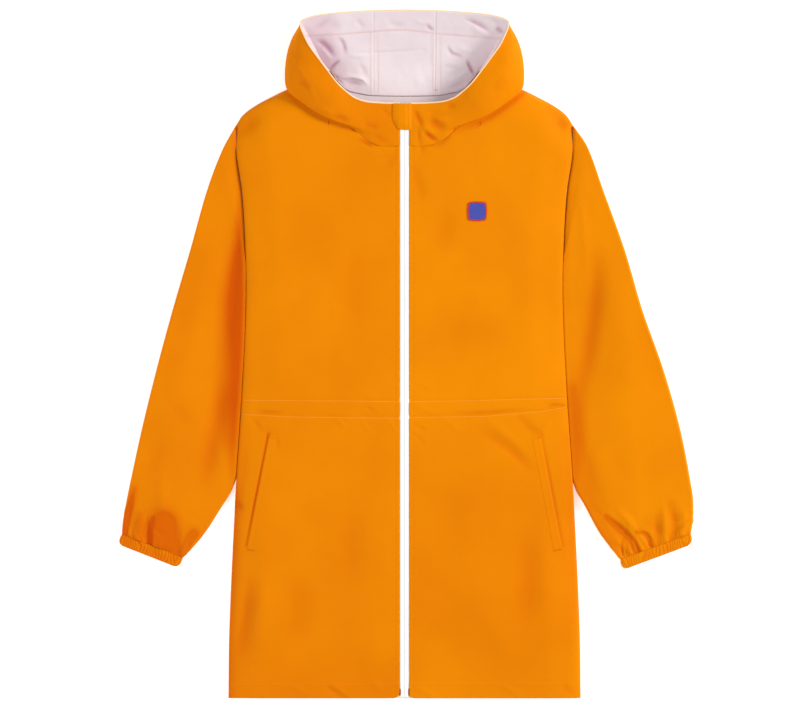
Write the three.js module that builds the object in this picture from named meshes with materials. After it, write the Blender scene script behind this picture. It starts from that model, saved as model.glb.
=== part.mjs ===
// Long hooded raincoat, laid front up on a flat surface with its sleeves beside the body.
// Millimetres. +X is the wearer's left, +Y runs from hem to hood, +Z is up from the surface.
import * as THREE from 'three';

// Cloth and clearances.
const CLOTH = 1.2; // wall of every coat panel
const LINING = 1; // wall of the pale lining
const GAP = 0.3; // clearance between sewn pieces
const SEAM_PLAN = 1.5; // clearance, seen from above, where a panel's edge leans at its seam

// Body.
const HEM_Y = -488;
const FRONT_EDGE_X = 7; // half the width of zip that shows between the fronts
const SHOULDER = [ // from the neck point to the tip
  { x: 111, y: 405 }, { x: 151, y: 385.5 }, { x: 187, y: 368 },
  { x: 213, y: 354 }, { x: 230, y: 341 }, { x: 240, y: 326 },
];
const SHOULDER_TIP = SHOULDER[SHOULDER.length - 1];
const UNDERARM_Y = 78;
const CHEST_LOFT = 16; // underside of the front above the surface
const HEM_LOFT = 8;
const HEM_EASE = 160; // length over which the front sinks to its hem
const SIDE_ROUND = 36; // width of the rounded side of the front
const SHOULDER_ROUND = 45;

// Where a sleeve lies under the side of the body.
const TUCK_LIFT = 6.6;
const TUCK_WIDTH = 56;
const TUCK_EASE = 30;
const TUCK_TOP_Y = 185;
const TUCK_BOTTOM_Y = -240;
const TUCK_RAMP = 40;
const TUCKED_SLEEVE = 4.8; // top of the sleeve where it is tucked
const ARMHOLE_SLEEVE = 8.6; // top of the sleeve beside the armhole
const SLEEVE_MIDDLE = 3; // height of the fold along each edge of the sleeve
const CUFF_WALL = 2.4;

// Zip, chin guard, patch and pockets.
const TAPE = { edgeX: 19, wall: 1, topY: 352 };
const COIL = { half: 3, wall: 2, topY: 344 };
const SLIDER = { half: 4.5, length: 14, wall: 3, y: 342 };
const PULL = { half: 3, length: 12, wall: 1.2, y: 328 };
const END_TAB = { half: 1.7, length: 14, wall: 1.4, x: 5 };
const CHIN = { fromX: -17, toX: 10, topY: 356.5, bottomY: 319.5, cut: 14, crown: 3, wall: 1.2 };
const PATCH = { x: 103, y: 204, half: 14, corner: 5, wall: 1.2 };
const CHANNEL = { y: -75, width: 25, fromX: 24, sideMargin: 14, wall: 1 };
const WELT = { width: 13, topX: 193.5, topY: -117, bottomX: 224, bottomY: -276, wall: 1.2 };
const BAG = { fromX: 96, toX: 196, topY: -112, bottomY: -296, taper: 12, wall: 2.4 };
const NECK_LINING = { half: 92, depth: 46, lift: 2 };
const FOLD_FROM = 0.2; // stretch of the lining with the folded crown of the hood below it
const FOLD_TO = 0.78;

// Half width of the body down the armhole and the side seam.
const BODY_EDGE = [
  { y: 326, half: 240 },
  { y: 284, half: 238.5 },
  { y: 234, half: 231 },
  { y: 163, half: 226.5 },
  { y: 78, half: 225 },
  { y: -58, half: 231 },
  { y: -192, half: 240 },
  { y: -383, half: 249 },
  { y: -488, half: 250.5 },
];

// Cross lines of the body panels, by the height at which they meet the side.
const BODY_LINES = [
  -488, -450, -410, -370, -325, -240, -220, -200, -140, -58, 20, 78, 145, 165, 185, 215, 245, 281,
  306, 326,
];

// The hood, from the zip round to the middle of the back, one row a line of cloth. Each line
// runs from the rim out over a fold, under it at footZ, and back to the neck seam.
const HOOD_RIM = [
  { x: 7, y: 357.4, z: 21 },
  { x: 24, y: 357.4, z: 21.5 },
  { x: 38, y: 358, z: 22.6 },
  { x: 54, y: 359.5, z: 25 },
  { x: 65, y: 362.5, z: 27.6 },
  { x: 75, y: 367.5, z: 30 },
  { x: 94, y: 384, z: 36 },
  { x: 110, y: 404, z: 41 },
  { x: 122, y: 420, z: 44 },
  { x: 135, y: 438, z: 46 },
  { x: 143, y: 454, z: 47 },
  { x: 147.5, y: 466, z: 48 },
  { x: 145, y: 474, z: 48 },
  { x: 125, y: 480.5, z: 46 },
  { x: 92, y: 484.5, z: 44 },
  { x: 44, y: 487.6, z: 42.6 },
  { x: 0, y: 488.4, z: 42 },
];
const HOOD_FOLD = [
  { x: 7, y: 327, z: 20.2, footZ: 18.6 },
  { x: 24, y: 326, z: 20.6, footZ: 18.7 },
  { x: 41, y: 322, z: 21, footZ: 18.8 },
  { x: 59, y: 321.5, z: 21.8, footZ: 19 },
  { x: 71, y: 324.5, z: 22.4, footZ: 18.6 },
  { x: 85, y: 328.5, z: 23, footZ: 18.2 },
  { x: 116, y: 339.5, z: 24, footZ: 18 },
  { x: 146, y: 359, z: 24, footZ: 18 },
  { x: 166, y: 376, z: 22, footZ: 15.6 },
  { x: 170, y: 396, z: 20, footZ: 10.5 },
  { x: 167, y: 426, z: 20, footZ: 4 },
  { x: 158, y: 451, z: 21, footZ: 1 },
  { x: 144, y: 468, z: 21, footZ: 0 },
  { x: 123, y: 475, z: 20, footZ: 0 },
  { x: 91, y: 478.5, z: 20, footZ: 0 },
  { x: 44, y: 481.4, z: 20, footZ: 0 },
  { x: 0, y: 482, z: 20, footZ: 0 },
];
const HOOD_NECK = [
  { x: 7, y: 298, z: 17.2, liningZ: 14.6 },
  { x: 24, y: 297, z: 17.2, liningZ: 14.6 },
  { x: 40, y: 299, z: 17.2, liningZ: 14.6 },
  { x: 57, y: 308, z: 17.2, liningZ: 14.6 },
  { x: 66, y: 316, z: 18, liningZ: 15.2 },
  { x: 74, y: 324, z: 17.8, liningZ: 15.2 },
  { x: 91, y: 345, z: 17.8, liningZ: 15.2 },
  { x: 102, y: 365, z: 17.7, liningZ: 15.2 },
  { x: 108, y: 384, z: 15.5, liningZ: 17.8 },
  { x: 110, y: 396, z: 11.6, liningZ: 13.4 },
  { x: 111, y: 405, z: 3.8, liningZ: 5.6 },
  { x: 104, y: 401, z: 0.8, liningZ: 3.2 },
  { x: 96, y: 391, z: 0, liningZ: 3 },
  { x: 82, y: 377, z: 0, liningZ: 3 },
  { x: 62, y: 371.5, z: 0, liningZ: 3 },
  { x: 44, y: 369, z: 0, liningZ: 3 },
  { x: 0, y: 368, z: 0, liningZ: 3 },
];
const HOOD_SEAM = 15; // row where side and centre are joined
const NECK_POINT_ROW = 10; // row at the neck point
const HOOD_STEPS = 7; // spans along the cloth from rim to neck seam
const LINING_STEPS = 5;
const LINING_STEP_IN = 6; // the lining ends this far inside the neck seam
const HOOD_ENTRY = 1; // first row that has lining, clear of the zip tape
const HOOD_MIDDLE_Y = 470; // neck edges step off their seam towards here

// Sleeves, from armhole to cuff: the outer and inner edge of each section and its loft.
const SLEEVE_RIGHT = [
  { outX: 259, outY: 292, inX: 212, inY: 70, loft: 13 },
  { outX: 281, outY: 234, inX: 188, inY: 46, loft: 17 },
  { outX: 305, outY: 149, inX: 177, inY: 14, loft: 20 },
  { outX: 330, outY: 64, inX: 184, inY: -16, loft: 22 },
  { outX: 353, outY: -21, inX: 200, inY: -55, loft: 22 },
  { outX: 374, outY: -106.5, inX: 218, inY: -116, loft: 21 },
  { outX: 392.5, outY: -192, inX: 245.5, inY: -192, loft: 19 },
  { outX: 396, outY: -210, inX: 257.5, inY: -212, loft: 18 },
  { outX: 401, outY: -237, inX: 286, inY: -256, loft: 16 },
  { outX: 402, outY: -255, inX: 315, inY: -287.5, loft: 13 },
];
const SLEEVE_LEFT = [
  { outX: 260, outY: 297, inX: 212, inY: 70, loft: 13 },
  { outX: 283, outY: 234, inX: 188, inY: 46, loft: 17 },
  { outX: 313.5, outY: 149, inX: 177, inY: 14, loft: 20 },
  { outX: 338.5, outY: 64, inX: 183, inY: -16, loft: 22 },
  { outX: 368.5, outY: -21, inX: 198, inY: -55, loft: 22 },
  { outX: 392.5, outY: -106.5, inX: 219, inY: -116, loft: 21 },
  { outX: 409, outY: -192, inX: 243.5, inY: -192, loft: 19 },
  { outX: 411, outY: -210, inX: 255, inY: -212, loft: 18 },
  { outX: 410.5, outY: -234, inX: 279, inY: -256, loft: 16 },
  { outX: 407.5, outY: -254, inX: 307, inY: -290.5, loft: 13 },
];
const CUFF_RIGHT = { outX: 406, outY: -269.5, inX: 323.5, inY: -302, loft: 12.5 };
const CUFF_LEFT = { outX: 407.5, outY: -269.5, inX: 312, inY: -305, loft: 12.5 };

const ORANGE = { color: 0xf08a08, roughness: 0.62, metalness: 0 };
const PALE = { color: 0xebe0e4, roughness: 0.75, metalness: 0 };
const WHITE = { color: 0xf6f6f4, roughness: 0.5, metalness: 0 };
const RUST = { color: 0xb5560f, roughness: 0.6, metalness: 0 };
const BLUE = { color: 0x4b5aaf, roughness: 0.7, metalness: 0 };

const clamp01 = (t) => Math.min(1, Math.max(0, t));
const ease = (t) => clamp01(t) ** 2 * (3 - 2 * clamp01(t));
const lerp = (a, b, t) => a + (b - a) * t;
const steps = (from, to, count) => Array.from({ length: count + 1 }, (_, i) => lerp(from, to, i / count));
const rounded = (distance, width) => Math.sqrt(clamp01(distance / width) * (2 - clamp01(distance / width)));

// Smooth value of a column at y, in a table whose rows run down in y.
function columnAt(rows, y, column) {
  let i = rows.findIndex((row, k) => k > 0 && row.y <= y);
  if (i < 0) i = rows.length - 1;
  const slope = (k) => {
    const a = rows[Math.max(0, k - 1)];
    const b = rows[Math.min(rows.length - 1, k + 1)];
    return (b[column] - a[column]) / (b.y - a.y);
  };
  const [a, b] = [rows[i - 1], rows[i]];
  const span = b.y - a.y;
  const t = clamp01((y - a.y) / span);
  const h = ease(t);
  return a[column] * (1 - h) + b[column] * h
    + span * (slope(i - 1) * t * (1 - t) ** 2 - slope(i) * t * t * (1 - t));
}

const bodyHalf = (y) => columnAt(BODY_EDGE, Math.min(y, SHOULDER_TIP.y), 'half');

// How far a point lies inside the shoulder edge, which curves outwards.
function insideShoulder(x, y) {
  const distances = SHOULDER.slice(1).map((end, i) => {
    const runX = end.x - SHOULDER[i].x;
    const runY = end.y - SHOULDER[i].y;
    return ((x - SHOULDER[i].x) * runY - (y - SHOULDER[i].y) * runX) / Math.hypot(runX, runY);
  });
  return Math.min(...distances);
}

const tuckedLength = (y) => ease((y - TUCK_BOTTOM_Y) / TUCK_RAMP);

// Underside of the back panel, raised along its sides where a sleeve is tucked below it.
function backZ(x, y) {
  const inside = bodyHalf(y) - x;
  const across = 1 - ease((inside - TUCK_WIDTH) / TUCK_EASE);
  return TUCK_LIFT * across * tuckedLength(y) * ease((TUCK_TOP_Y - y) / TUCK_RAMP);
}

// Underside of a front, resting on the back at the side seam and the shoulder.
function frontZ(x, y) {
  const onSurface = CLOTH + GAP;
  const side = TUCK_LIFT * tuckedLength(y) * ease((SHOULDER_TIP.y - y) / TUCK_RAMP);
  const loft = lerp(HEM_LOFT, CHEST_LOFT, ease((y - HEM_Y) / HEM_EASE)) - onSurface;
  const raised = lerp(side, loft, rounded(bodyHalf(y) - x, SIDE_ROUND));
  return onSurface + raised * rounded(insideShoulder(x, y), SHOULDER_ROUND);
}

// Vertex normals of a grid of points; a ring's columns close on themselves.
function normalsOf(grid, ring) {
  const cols = grid[0].length;
  const last = grid.length - 1;
  return grid.map((row, r) => row.map((point, c) => {
    const before = ring ? row[(c + cols - 1) % cols] : row[Math.max(0, c - 1)];
    const after = ring ? row[(c + 1) % cols] : row[Math.min(cols - 1, c + 1)];
    const across = after.clone().sub(before);
    const along = grid[Math.min(last, r + 1)][c].clone().sub(grid[Math.max(0, r - 1)][c]);
    return across.cross(along).normalize();
  }));
}

function moved(grid, distance, ring = false) {
  const normals = normalsOf(grid, ring);
  return grid.map((row, r) => row.map((point, c) => point.clone().addScaledVector(normals[r][c], distance)));
}

const mirrored = (grid) => grid.map((row) => row.map((p) => new THREE.Vector3(-p.x, p.y, p.z)));

// A closed wall between two equal grids of points.
function wallBetween(outer, inner, ring = false) {
  const rows = outer.length;
  const cols = outer[0].length;
  const points = [...outer.flat(), ...inner.flat()];
  const index = [];
  const at = (side, r, c) => side * rows * cols + r * cols + (c % cols);
  const quad = (a, b, c, d) => index.push(a, b, c, a, c, d);
  const spans = ring ? cols : cols - 1;
  for (let c = 0; c < spans; c += 1) {
    for (let r = 0; r < rows - 1; r += 1) {
      quad(at(0, r, c), at(0, r, c + 1), at(0, r + 1, c + 1), at(0, r + 1, c));
      quad(at(1, r, c), at(1, r + 1, c), at(1, r + 1, c + 1), at(1, r, c + 1));
    }
    quad(at(0, 0, c), at(1, 0, c), at(1, 0, c + 1), at(0, 0, c + 1));
    quad(at(0, rows - 1, c), at(0, rows - 1, c + 1), at(1, rows - 1, c + 1), at(1, rows - 1, c));
  }
  for (let r = 0; !ring && r < rows - 1; r += 1) {
    quad(at(0, r, 0), at(0, r + 1, 0), at(1, r + 1, 0), at(1, r, 0));
    quad(at(0, r, cols - 1), at(1, r, cols - 1), at(1, r + 1, cols - 1), at(0, r + 1, cols - 1));
  }
  return facingOut(points, index);
}

// A closed solid through rings of points, capped at both ends.
function solidThrough(rings) {
  const count = rings[0].length;
  const middle = (ring) => ring.reduce((sum, p) => sum.add(p), new THREE.Vector3()).divideScalar(count);
  const points = [...rings.flat(), middle(rings[0]), middle(rings[rings.length - 1])];
  const index = [];
  const at = (r, c) => r * count + (c % count);
  const firstCap = rings.length * count;
  for (let c = 0; c < count; c += 1) {
    for (let r = 0; r < rings.length - 1; r += 1) {
      index.push(at(r, c), at(r, c + 1), at(r + 1, c + 1), at(r, c), at(r + 1, c + 1), at(r + 1, c));
    }
    index.push(firstCap, at(0, c + 1), at(0, c));
    index.push(firstCap + 1, at(rings.length - 1, c), at(rings.length - 1, c + 1));
  }
  return facingOut(points, index);
}

function facingOut(points, index) {
  let volume = 0;
  for (let i = 0; i < index.length; i += 3) {
    const [a, b, c] = [points[index[i]], points[index[i + 1]], points[index[i + 2]]];
    volume += a.dot(b.clone().cross(c));
  }
  const faces = volume > 0 ? index : index.map((value, i) => index[i - (i % 3) + 2 - (i % 3)]);
  const geometry = new THREE.BufferGeometry().setFromPoints(points);
  geometry.setIndex(faces);
  return geometry;
}

// Lowest and highest point of a geometry straight above and below (x, y).
function heightsAt(geometry, x, y) {
  const { array } = geometry.getAttribute('position');
  const index = geometry.getIndex().array;
  const found = [];
  for (let i = 0; i < index.length; i += 3) {
    const [a, b, c] = [index[i] * 3, index[i + 1] * 3, index[i + 2] * 3];
    const area = (array[b] - array[a]) * (array[c + 1] - array[a + 1])
      - (array[c] - array[a]) * (array[b + 1] - array[a + 1]);
    const u = ((array[b] - x) * (array[c + 1] - y) - (array[c] - x) * (array[b + 1] - y)) / area;
    const v = ((array[c] - x) * (array[a + 1] - y) - (array[a] - x) * (array[c + 1] - y)) / area;
    if (u >= 0 && v >= 0 && u + v <= 1) {
      found.push(array[a + 2] * u + array[b + 2] * v + array[c + 2] * (1 - u - v));
    }
  }
  return { low: Math.min(...found), high: Math.max(...found) };
}

// A strip of cloth above (or below) a panel, through rows of places given as [x, y].
function stripOn(panel, places, thickness, above) {
  const near = places.map((row) => row.map(([x, y]) => {
    const { low, high } = heightsAt(panel, x, y);
    return new THREE.Vector3(x, y, above ? high + 2 * GAP : low - 2 * GAP);
  }));
  const shift = above ? thickness : -thickness;
  const far = near.map((row) => row.map((p) => new THREE.Vector3(p.x, p.y, p.z + shift)));
  return wallBetween(far, near);
}

const coat = new THREE.Group();
function add(name, geometry, finish) {
  const material = new THREE.MeshStandardMaterial(finish);
  const mesh = new THREE.Mesh(geometry, material);
  mesh.name = name;
  coat.add(mesh);
}

// Body panels. Each column runs from the hem to the neck seam or the shoulder.
const frontNeck = HOOD_NECK.slice(0, NECK_POINT_ROW + 1);
const backNeck = HOOD_NECK.slice(NECK_POINT_ROW).reverse();
const shoulder = SHOULDER.slice(1);

function bodyGrid(topEdge, startX, heightOf) {
  return BODY_LINES.map((sideY) => {
    const up = (sideY - HEM_Y) / (SHOULDER_TIP.y - HEM_Y);
    const half = bodyHalf(sideY);
    return topEdge.map((top) => {
      const x = lerp(startX, half, (top.x - startX) / (SHOULDER_TIP.x - startX));
      const y = lerp(HEM_Y, top.y, up);
      return new THREE.Vector3(x, y, heightOf(x, y));
    });
  });
}

const frontUnder = bodyGrid([...frontNeck, ...shoulder], FRONT_EDGE_X, frontZ);
const frontTop = moved(frontUnder, CLOTH);
const frontLeft = wallBetween(frontTop, frontUnder);
add('front_left', frontLeft, ORANGE);
const frontRight = wallBetween(mirrored(frontTop), mirrored(frontUnder));
add('front_right', frontRight, ORANGE);

const backHalf = bodyGrid([...backNeck, ...shoulder], 0, backZ);
const backUnder = backHalf.map((row) => {
  const other = row.slice(1).reverse().map((p) => new THREE.Vector3(-p.x, p.y, p.z));
  return [...other, ...row];
});
const back = wallBetween(moved(backUnder, CLOTH), backUnder);
add('back_panel', back, ORANGE);

// Sleeves. A section is an outline of (along, height) pairs from the outer edge to the inner.
const ACROSS = [0, 0.02, 0.08, 0.2, 0.36, 0.54, 0.72, 0.86, 0.96, 1];
const OUTER_ROUND = 46;
const INNER_ROUND = 26;
const SOLE_ROUND = 8;

// Top of the sleeve: low under the side of the body, rising to its loft beside it.
function sleeveTop(x, y, loft) {
  const atArmhole = ease((y - TUCK_TOP_Y + TUCK_RAMP) / TUCK_RAMP);
  const clearOfBody = ease((TUCK_BOTTOM_Y + TUCK_RAMP - y) / TUCK_RAMP);
  const underBody = lerp(TUCKED_SLEEVE, Math.min(loft, ARMHOLE_SLEEVE), atArmhole);
  const low = lerp(underBody, loft, clearOfBody);
  return lerp(low, loft, ease((x - bodyHalf(y) - 8) / 40));
}

function sleeveSection(row, placeAt, wall) {
  const length = Math.hypot(row.outX - row.inX, row.outY - row.inY);
  const top = ACROSS.map((s) => {
    const [x, y] = placeAt(s);
    const round = Math.min(rounded(s * length, OUTER_ROUND), rounded((1 - s) * length, INNER_ROUND));
    return [s * length, lerp(SLEEVE_MIDDLE, sleeveTop(x, y, row.loft), round)];
  });
  const sole = ACROSS.slice(1, -1).reverse().map((s) => {
    const round = Math.min(rounded(s * length, SOLE_ROUND), rounded((1 - s) * length, SOLE_ROUND));
    return [s * length, SLEEVE_MIDDLE * (1 - round)];
  });
  const outline = [...top, ...sole];
  const inset = outline.map(([a, z], i) => {
    const [pa, pz] = outline[(i + outline.length - 1) % outline.length];
    const [na, nz] = outline[(i + 1) % outline.length];
    const before = new THREE.Vector2(z - pz, pa - a).normalize();
    const after = new THREE.Vector2(nz - z, a - na).normalize();
    const corner = before.add(after).multiplyScalar(wall / (1 + before.dot(after)));
    return [a + corner.x, z + corner.y];
  });
  const place = ([a, z]) => new THREE.Vector3(...placeAt(a / length), z);
  return { outer: outline.map(place), inner: inset.map(place) };
}

const straight = (row) => (s) => [lerp(row.outX, row.inX, s), lerp(row.outY, row.inY, s)];

function sleeveTube(rows, wall, firstPlace) {
  const placeOf = (row, i) => (i === 0 && firstPlace ? firstPlace : straight(row));
  const sections = rows.map((row, i) => sleeveSection(row, placeOf(row, i), wall));
  return { outer: sections.map((s) => s.outer), inner: sections.map((s) => s.inner) };
}

const armholeRow = {
  outX: SHOULDER_TIP.x + SEAM_PLAN,
  outY: SHOULDER_TIP.y,
  inX: bodyHalf(UNDERARM_Y) + SEAM_PLAN,
  inY: UNDERARM_Y,
  loft: ARMHOLE_SLEEVE,
};
function armholePlace(s) {
  const y = lerp(SHOULDER_TIP.y, UNDERARM_Y, s);
  return [bodyHalf(y) + SEAM_PLAN, y];
}

// The cuff starts just past the sleeve's last section.
function cuffStart(sleeveEnd, cuffEnd) {
  const share = (2 * GAP) / Math.hypot(cuffEnd.outX - sleeveEnd.outX, cuffEnd.outY - sleeveEnd.outY);
  const between = (key) => [key, lerp(sleeveEnd[key], cuffEnd[key], share)];
  return Object.fromEntries(Object.keys(cuffEnd).map(between));
}

const ARMS = [
  { side: 'left', rows: SLEEVE_LEFT, cuff: CUFF_LEFT, turn: (grid) => grid },
  { side: 'right', rows: SLEEVE_RIGHT, cuff: CUFF_RIGHT, turn: mirrored },
];
for (const { side, rows, cuff, turn } of ARMS) {
  const sleeve = sleeveTube([armholeRow, ...rows], CLOTH, armholePlace);
  add(`sleeve_${side}`, wallBetween(turn(sleeve.outer), turn(sleeve.inner), true), ORANGE);
  const band = sleeveTube([cuffStart(rows[rows.length - 1], cuff), cuff], CUFF_WALL);
  add(`cuff_${side}`, wallBetween(turn(band.outer), turn(band.inner), true), ORANGE);
}

// Hood.
function offSeam(r, z, distance) {
  const place = new THREE.Vector3(HOOD_NECK[r].x, HOOD_NECK[r].y, z);
  return place.add(new THREE.Vector3(-place.x, HOOD_MIDDLE_Y - place.y, 0).setLength(distance));
}

function hoodLine(rimAt, r) {
  const rim = new THREE.Vector3(rimAt.x, rimAt.y, rimAt.z);
  const fold = new THREE.Vector3(HOOD_FOLD[r].x, HOOD_FOLD[r].y, HOOD_FOLD[r].z);
  const neck = offSeam(r, HOOD_NECK[r].z, 4 * GAP);
  const { footZ } = HOOD_FOLD[r];
  const lowest = Math.min(footZ, neck.z);
  const crest = rim.clone().lerp(fold, 0.5);
  crest.z += 0.13 * Math.hypot(rim.x - fold.x, rim.y - fold.y) * ease((rim.z - 25) / 10);
  const foot = fold.clone().lerp(neck, Math.min(0.5, 16 / Math.hypot(neck.x - fold.x, neck.y - fold.y)));
  foot.z = footZ;
  const flat = foot.clone().lerp(neck, 0.5);
  const line = new THREE.CatmullRomCurve3([rim, crest, fold, foot, flat, neck], false, 'centripetal');
  return steps(0, 1, HOOD_STEPS).map((t) => {
    const point = line.getPoint(t);
    return point.setZ(Math.max(point.z, lowest));
  });
}

const hoodOuter = HOOD_RIM.map(hoodLine);
const hoodNormals = normalsOf(hoodOuter, false);
const hoodInner = moved(hoodOuter, -CLOTH);

// The lining drops from just inside the rim to the neck seam in a hollow curve.
function liningLine(neckAt, r) {
  const start = hoodOuter[r][0].clone().addScaledVector(hoodNormals[r][0], -CLOTH - GAP);
  const end = offSeam(r, neckAt.liningZ, LINING_STEP_IN);
  return steps(0, 1, LINING_STEPS).map((t) => {
    const point = start.clone().lerp(end, t);
    return point.setZ(lerp(end.z, start.z, (1 - t) ** 1.5));
  });
}

const liningOuter = HOOD_NECK.map(liningLine);
const liningInner = moved(liningOuter, -LINING);

// A side's last line moves off the seam; the centre runs over the middle to the other side.
const sideOf = (grid, first) => grid.slice(first, HOOD_SEAM + 1).map((row, r, rows) => (
  r < rows.length - 1 ? row : row.map((p) => p.clone().setX(p.x + 2 * GAP))));
const centreOf = (grid) => [...grid.slice(HOOD_SEAM), ...mirrored(grid.slice(HOOD_SEAM, -1)).reverse()];

const hoodSide = [sideOf(hoodOuter, 0), sideOf(hoodInner, 0)];
const hoodLeft = wallBetween(...hoodSide);
add('hood_side_left', hoodLeft, ORANGE);
add('hood_side_right', wallBetween(...hoodSide.map(mirrored)), ORANGE);
add('hood_centre', wallBetween(centreOf(hoodOuter), centreOf(hoodInner)), ORANGE);

const liningSide = [sideOf(liningOuter, HOOD_ENTRY), sideOf(liningInner, HOOD_ENTRY)];
add('hood_lining_left', wallBetween(...liningSide), PALE);
add('hood_lining_right', wallBetween(...liningSide.map(mirrored)), PALE);
add('hood_lining_centre', wallBetween(centreOf(liningOuter), centreOf(liningInner)), PALE);

// The folded crown of the hood, one solid between the lining and the cloth on the surface.
const foldHalf = liningOuter.slice(NECK_POINT_ROW + 2).map((line) => {
  const floor = CLOTH + 2 * GAP;
  const along = steps(FOLD_FROM, FOLD_TO, 5);
  const top = along.map((t) => {
    const point = line[0].clone().lerp(line[LINING_STEPS], t);
    return point.setZ(lerp(line[LINING_STEPS].z, line[0].z, (1 - t) ** 1.5) - 4 * GAP);
  });
  const sole = along.map((t) => line[0].clone().lerp(line[LINING_STEPS], lerp(t, FOLD_TO, 0.35)).setZ(floor));
  return [...top, ...sole.reverse()];
});
add('hood_fold', solidThrough([...foldHalf, ...mirrored(foldHalf.slice(0, -1)).reverse()]), ORANGE);

// Lining that shows inside the back of the neck, lying on the back panel.
function backNeckY(x) {
  const i = backNeck.findIndex((place) => place.x >= x);
  const [a, b] = [backNeck[Math.max(0, i - 1)], backNeck[i]];
  return lerp(a.y, b.y, clamp01((x - a.x) / (b.x - a.x || 1)));
}
const neckPlaces = steps(-1, 1, 10).map((s) => {
  const x = s * NECK_LINING.half;
  const top = backNeckY(Math.abs(x)) - NECK_LINING.lift;
  const bottom = top - NECK_LINING.depth * Math.sqrt(1 - 0.8 * s * s);
  return [[x, top], [x, lerp(top, bottom, 0.5)], [x, bottom]];
});
add('back_neck_lining', stripOn(back, neckPlaces, LINING, true), PALE);

// Zip, under the edges of the fronts and of the hood.
const zipLine = [...frontUnder.map((row) => row[0]), ...hoodInner[0].slice().reverse()]
  .filter((p) => p.y <= TAPE.topY);
function zipTop(y) {
  const i = Math.max(1, zipLine.findLastIndex((p, k) => k === 1 || zipLine[k - 1].y < y));
  const [a, b] = [zipLine[i - 1], zipLine[i]];
  return lerp(a.z, b.z, clamp01((y - a.y) / (b.y - a.y))) - 2 * GAP;
}
function zipStrip(fromX, toX, top, wall, endY) {
  const rows = zipLine.filter((p) => p.y <= endY);
  const face = (drop) => rows.map((p) => [fromX, toX].map((x) => (
    new THREE.Vector3(x, p.y, p.z - 2 * GAP - drop))));
  return wallBetween(face(top), face(top + wall));
}
add('zip_tape_left', zipStrip(GAP / 2, TAPE.edgeX, 0, TAPE.wall, TAPE.topY), WHITE);
add('zip_tape_right', zipStrip(-TAPE.edgeX, -GAP / 2, 0, TAPE.wall, TAPE.topY), WHITE);
add('zip_coil', zipStrip(-COIL.half, COIL.half, TAPE.wall + GAP, COIL.wall, COIL.topY), WHITE);

// A flat plate with rounded ends, lying along the zip above the tape.
function plate(half, length, wall, y, x, corner) {
  const outline = new THREE.Shape();
  outline.moveTo(-half, corner - length / 2);
  outline.quadraticCurveTo(-half, -length / 2, corner - half, -length / 2);
  outline.lineTo(half - corner, -length / 2);
  outline.quadraticCurveTo(half, -length / 2, half, corner - length / 2);
  outline.lineTo(half, length / 2 - corner);
  outline.quadraticCurveTo(half, length / 2, half - corner, length / 2);
  outline.lineTo(corner - half, length / 2);
  outline.quadraticCurveTo(-half, length / 2, -half, length / 2 - corner);
  const solid = new THREE.ExtrudeGeometry(outline, { depth: wall, bevelEnabled: false, curveSegments: 2 });
  const rise = zipTop(y + length / 2) - zipTop(y - length / 2);
  solid.rotateX(Math.atan2(rise, length));
  return solid.translate(x, y, zipTop(y) + 2 * GAP);
}
add('zip_slider', plate(SLIDER.half, SLIDER.length, SLIDER.wall, SLIDER.y, 0, 3), WHITE);
add('zip_pull', plate(PULL.half, PULL.length, PULL.wall, PULL.y, 0, 2.5), WHITE);
const tabY = HEM_Y + END_TAB.length / 2 + 1;
add('zip_end_tab_left', plate(END_TAB.half, END_TAB.length, END_TAB.wall, tabY, END_TAB.x, 1.5), RUST);
add('zip_end_tab_right', plate(END_TAB.half, END_TAB.length, END_TAB.wall, tabY, -END_TAB.x, 1.5), RUST);

// Chin guard, over the top of the zip and crowned above its slider.
const chinPlaces = steps(CHIN.fromX, CHIN.toX, 6).map((x) => {
  const corner = CHIN.cut * clamp01((CHIN.fromX + 9 - x) / 9) + (x > 0 ? 0 : -0.1 * x);
  return steps(CHIN.topY, CHIN.bottomY + corner, 6).map((y) => [x, y]);
});
const chinUnder = chinPlaces.map((column) => column.map(([x, y]) => {
  const { high } = heightsAt(hoodLeft, Math.max(Math.abs(x), FRONT_EDGE_X + 1), y);
  const crown = CHIN.crown * (1 - (x / CHIN.fromX) ** 2) * ease((y - CHIN.bottomY + 6) / 12);
  return new THREE.Vector3(x, y, high + 2 * GAP + crown);
}));
add('chin_guard', wallBetween(moved(chinUnder, CHIN.wall), chinUnder), ORANGE);

// Drawcord channel inside the waist, pocket welts and bags, and the chest patch.
const across = (fromX, toX, fromY, toY, columns) => steps(fromX, toX, columns).map((x) => (
  steps(fromY, toY, 1).map((y) => [x, y])));
const channelTop = CHANNEL.y + CHANNEL.width / 2;
const channelBottom = CHANNEL.y - CHANNEL.width / 2;
const channelEnd = bodyHalf(CHANNEL.y) - CHANNEL.sideMargin;
const turnedPlaces = (places) => places.map((row) => row.map(([x, y]) => [-x, y]));
const frontChannel = across(CHANNEL.fromX, channelEnd, channelTop, channelBottom, 12);
const backChannel = across(-channelEnd, channelEnd, channelTop, channelBottom, 34);
const weltPlaces = steps(0, 1, 8).map((t) => [0, 0.5, 1].map((s) => [
  lerp(WELT.topX, WELT.bottomX, t) - WELT.width * s,
  lerp(WELT.topY, WELT.bottomY, t) - WELT.width * 0.2 * s,
]));
const bagPlaces = steps(0, 1, 6).map((t) => steps(0, 1, 5).map((s) => [
  lerp(BAG.fromX + BAG.taper * t, BAG.toX + BAG.taper * t, s),
  lerp(BAG.topY, BAG.bottomY, t),
]));
add('waist_channel_back', stripOn(back, backChannel, CHANNEL.wall, true), ORANGE);
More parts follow.
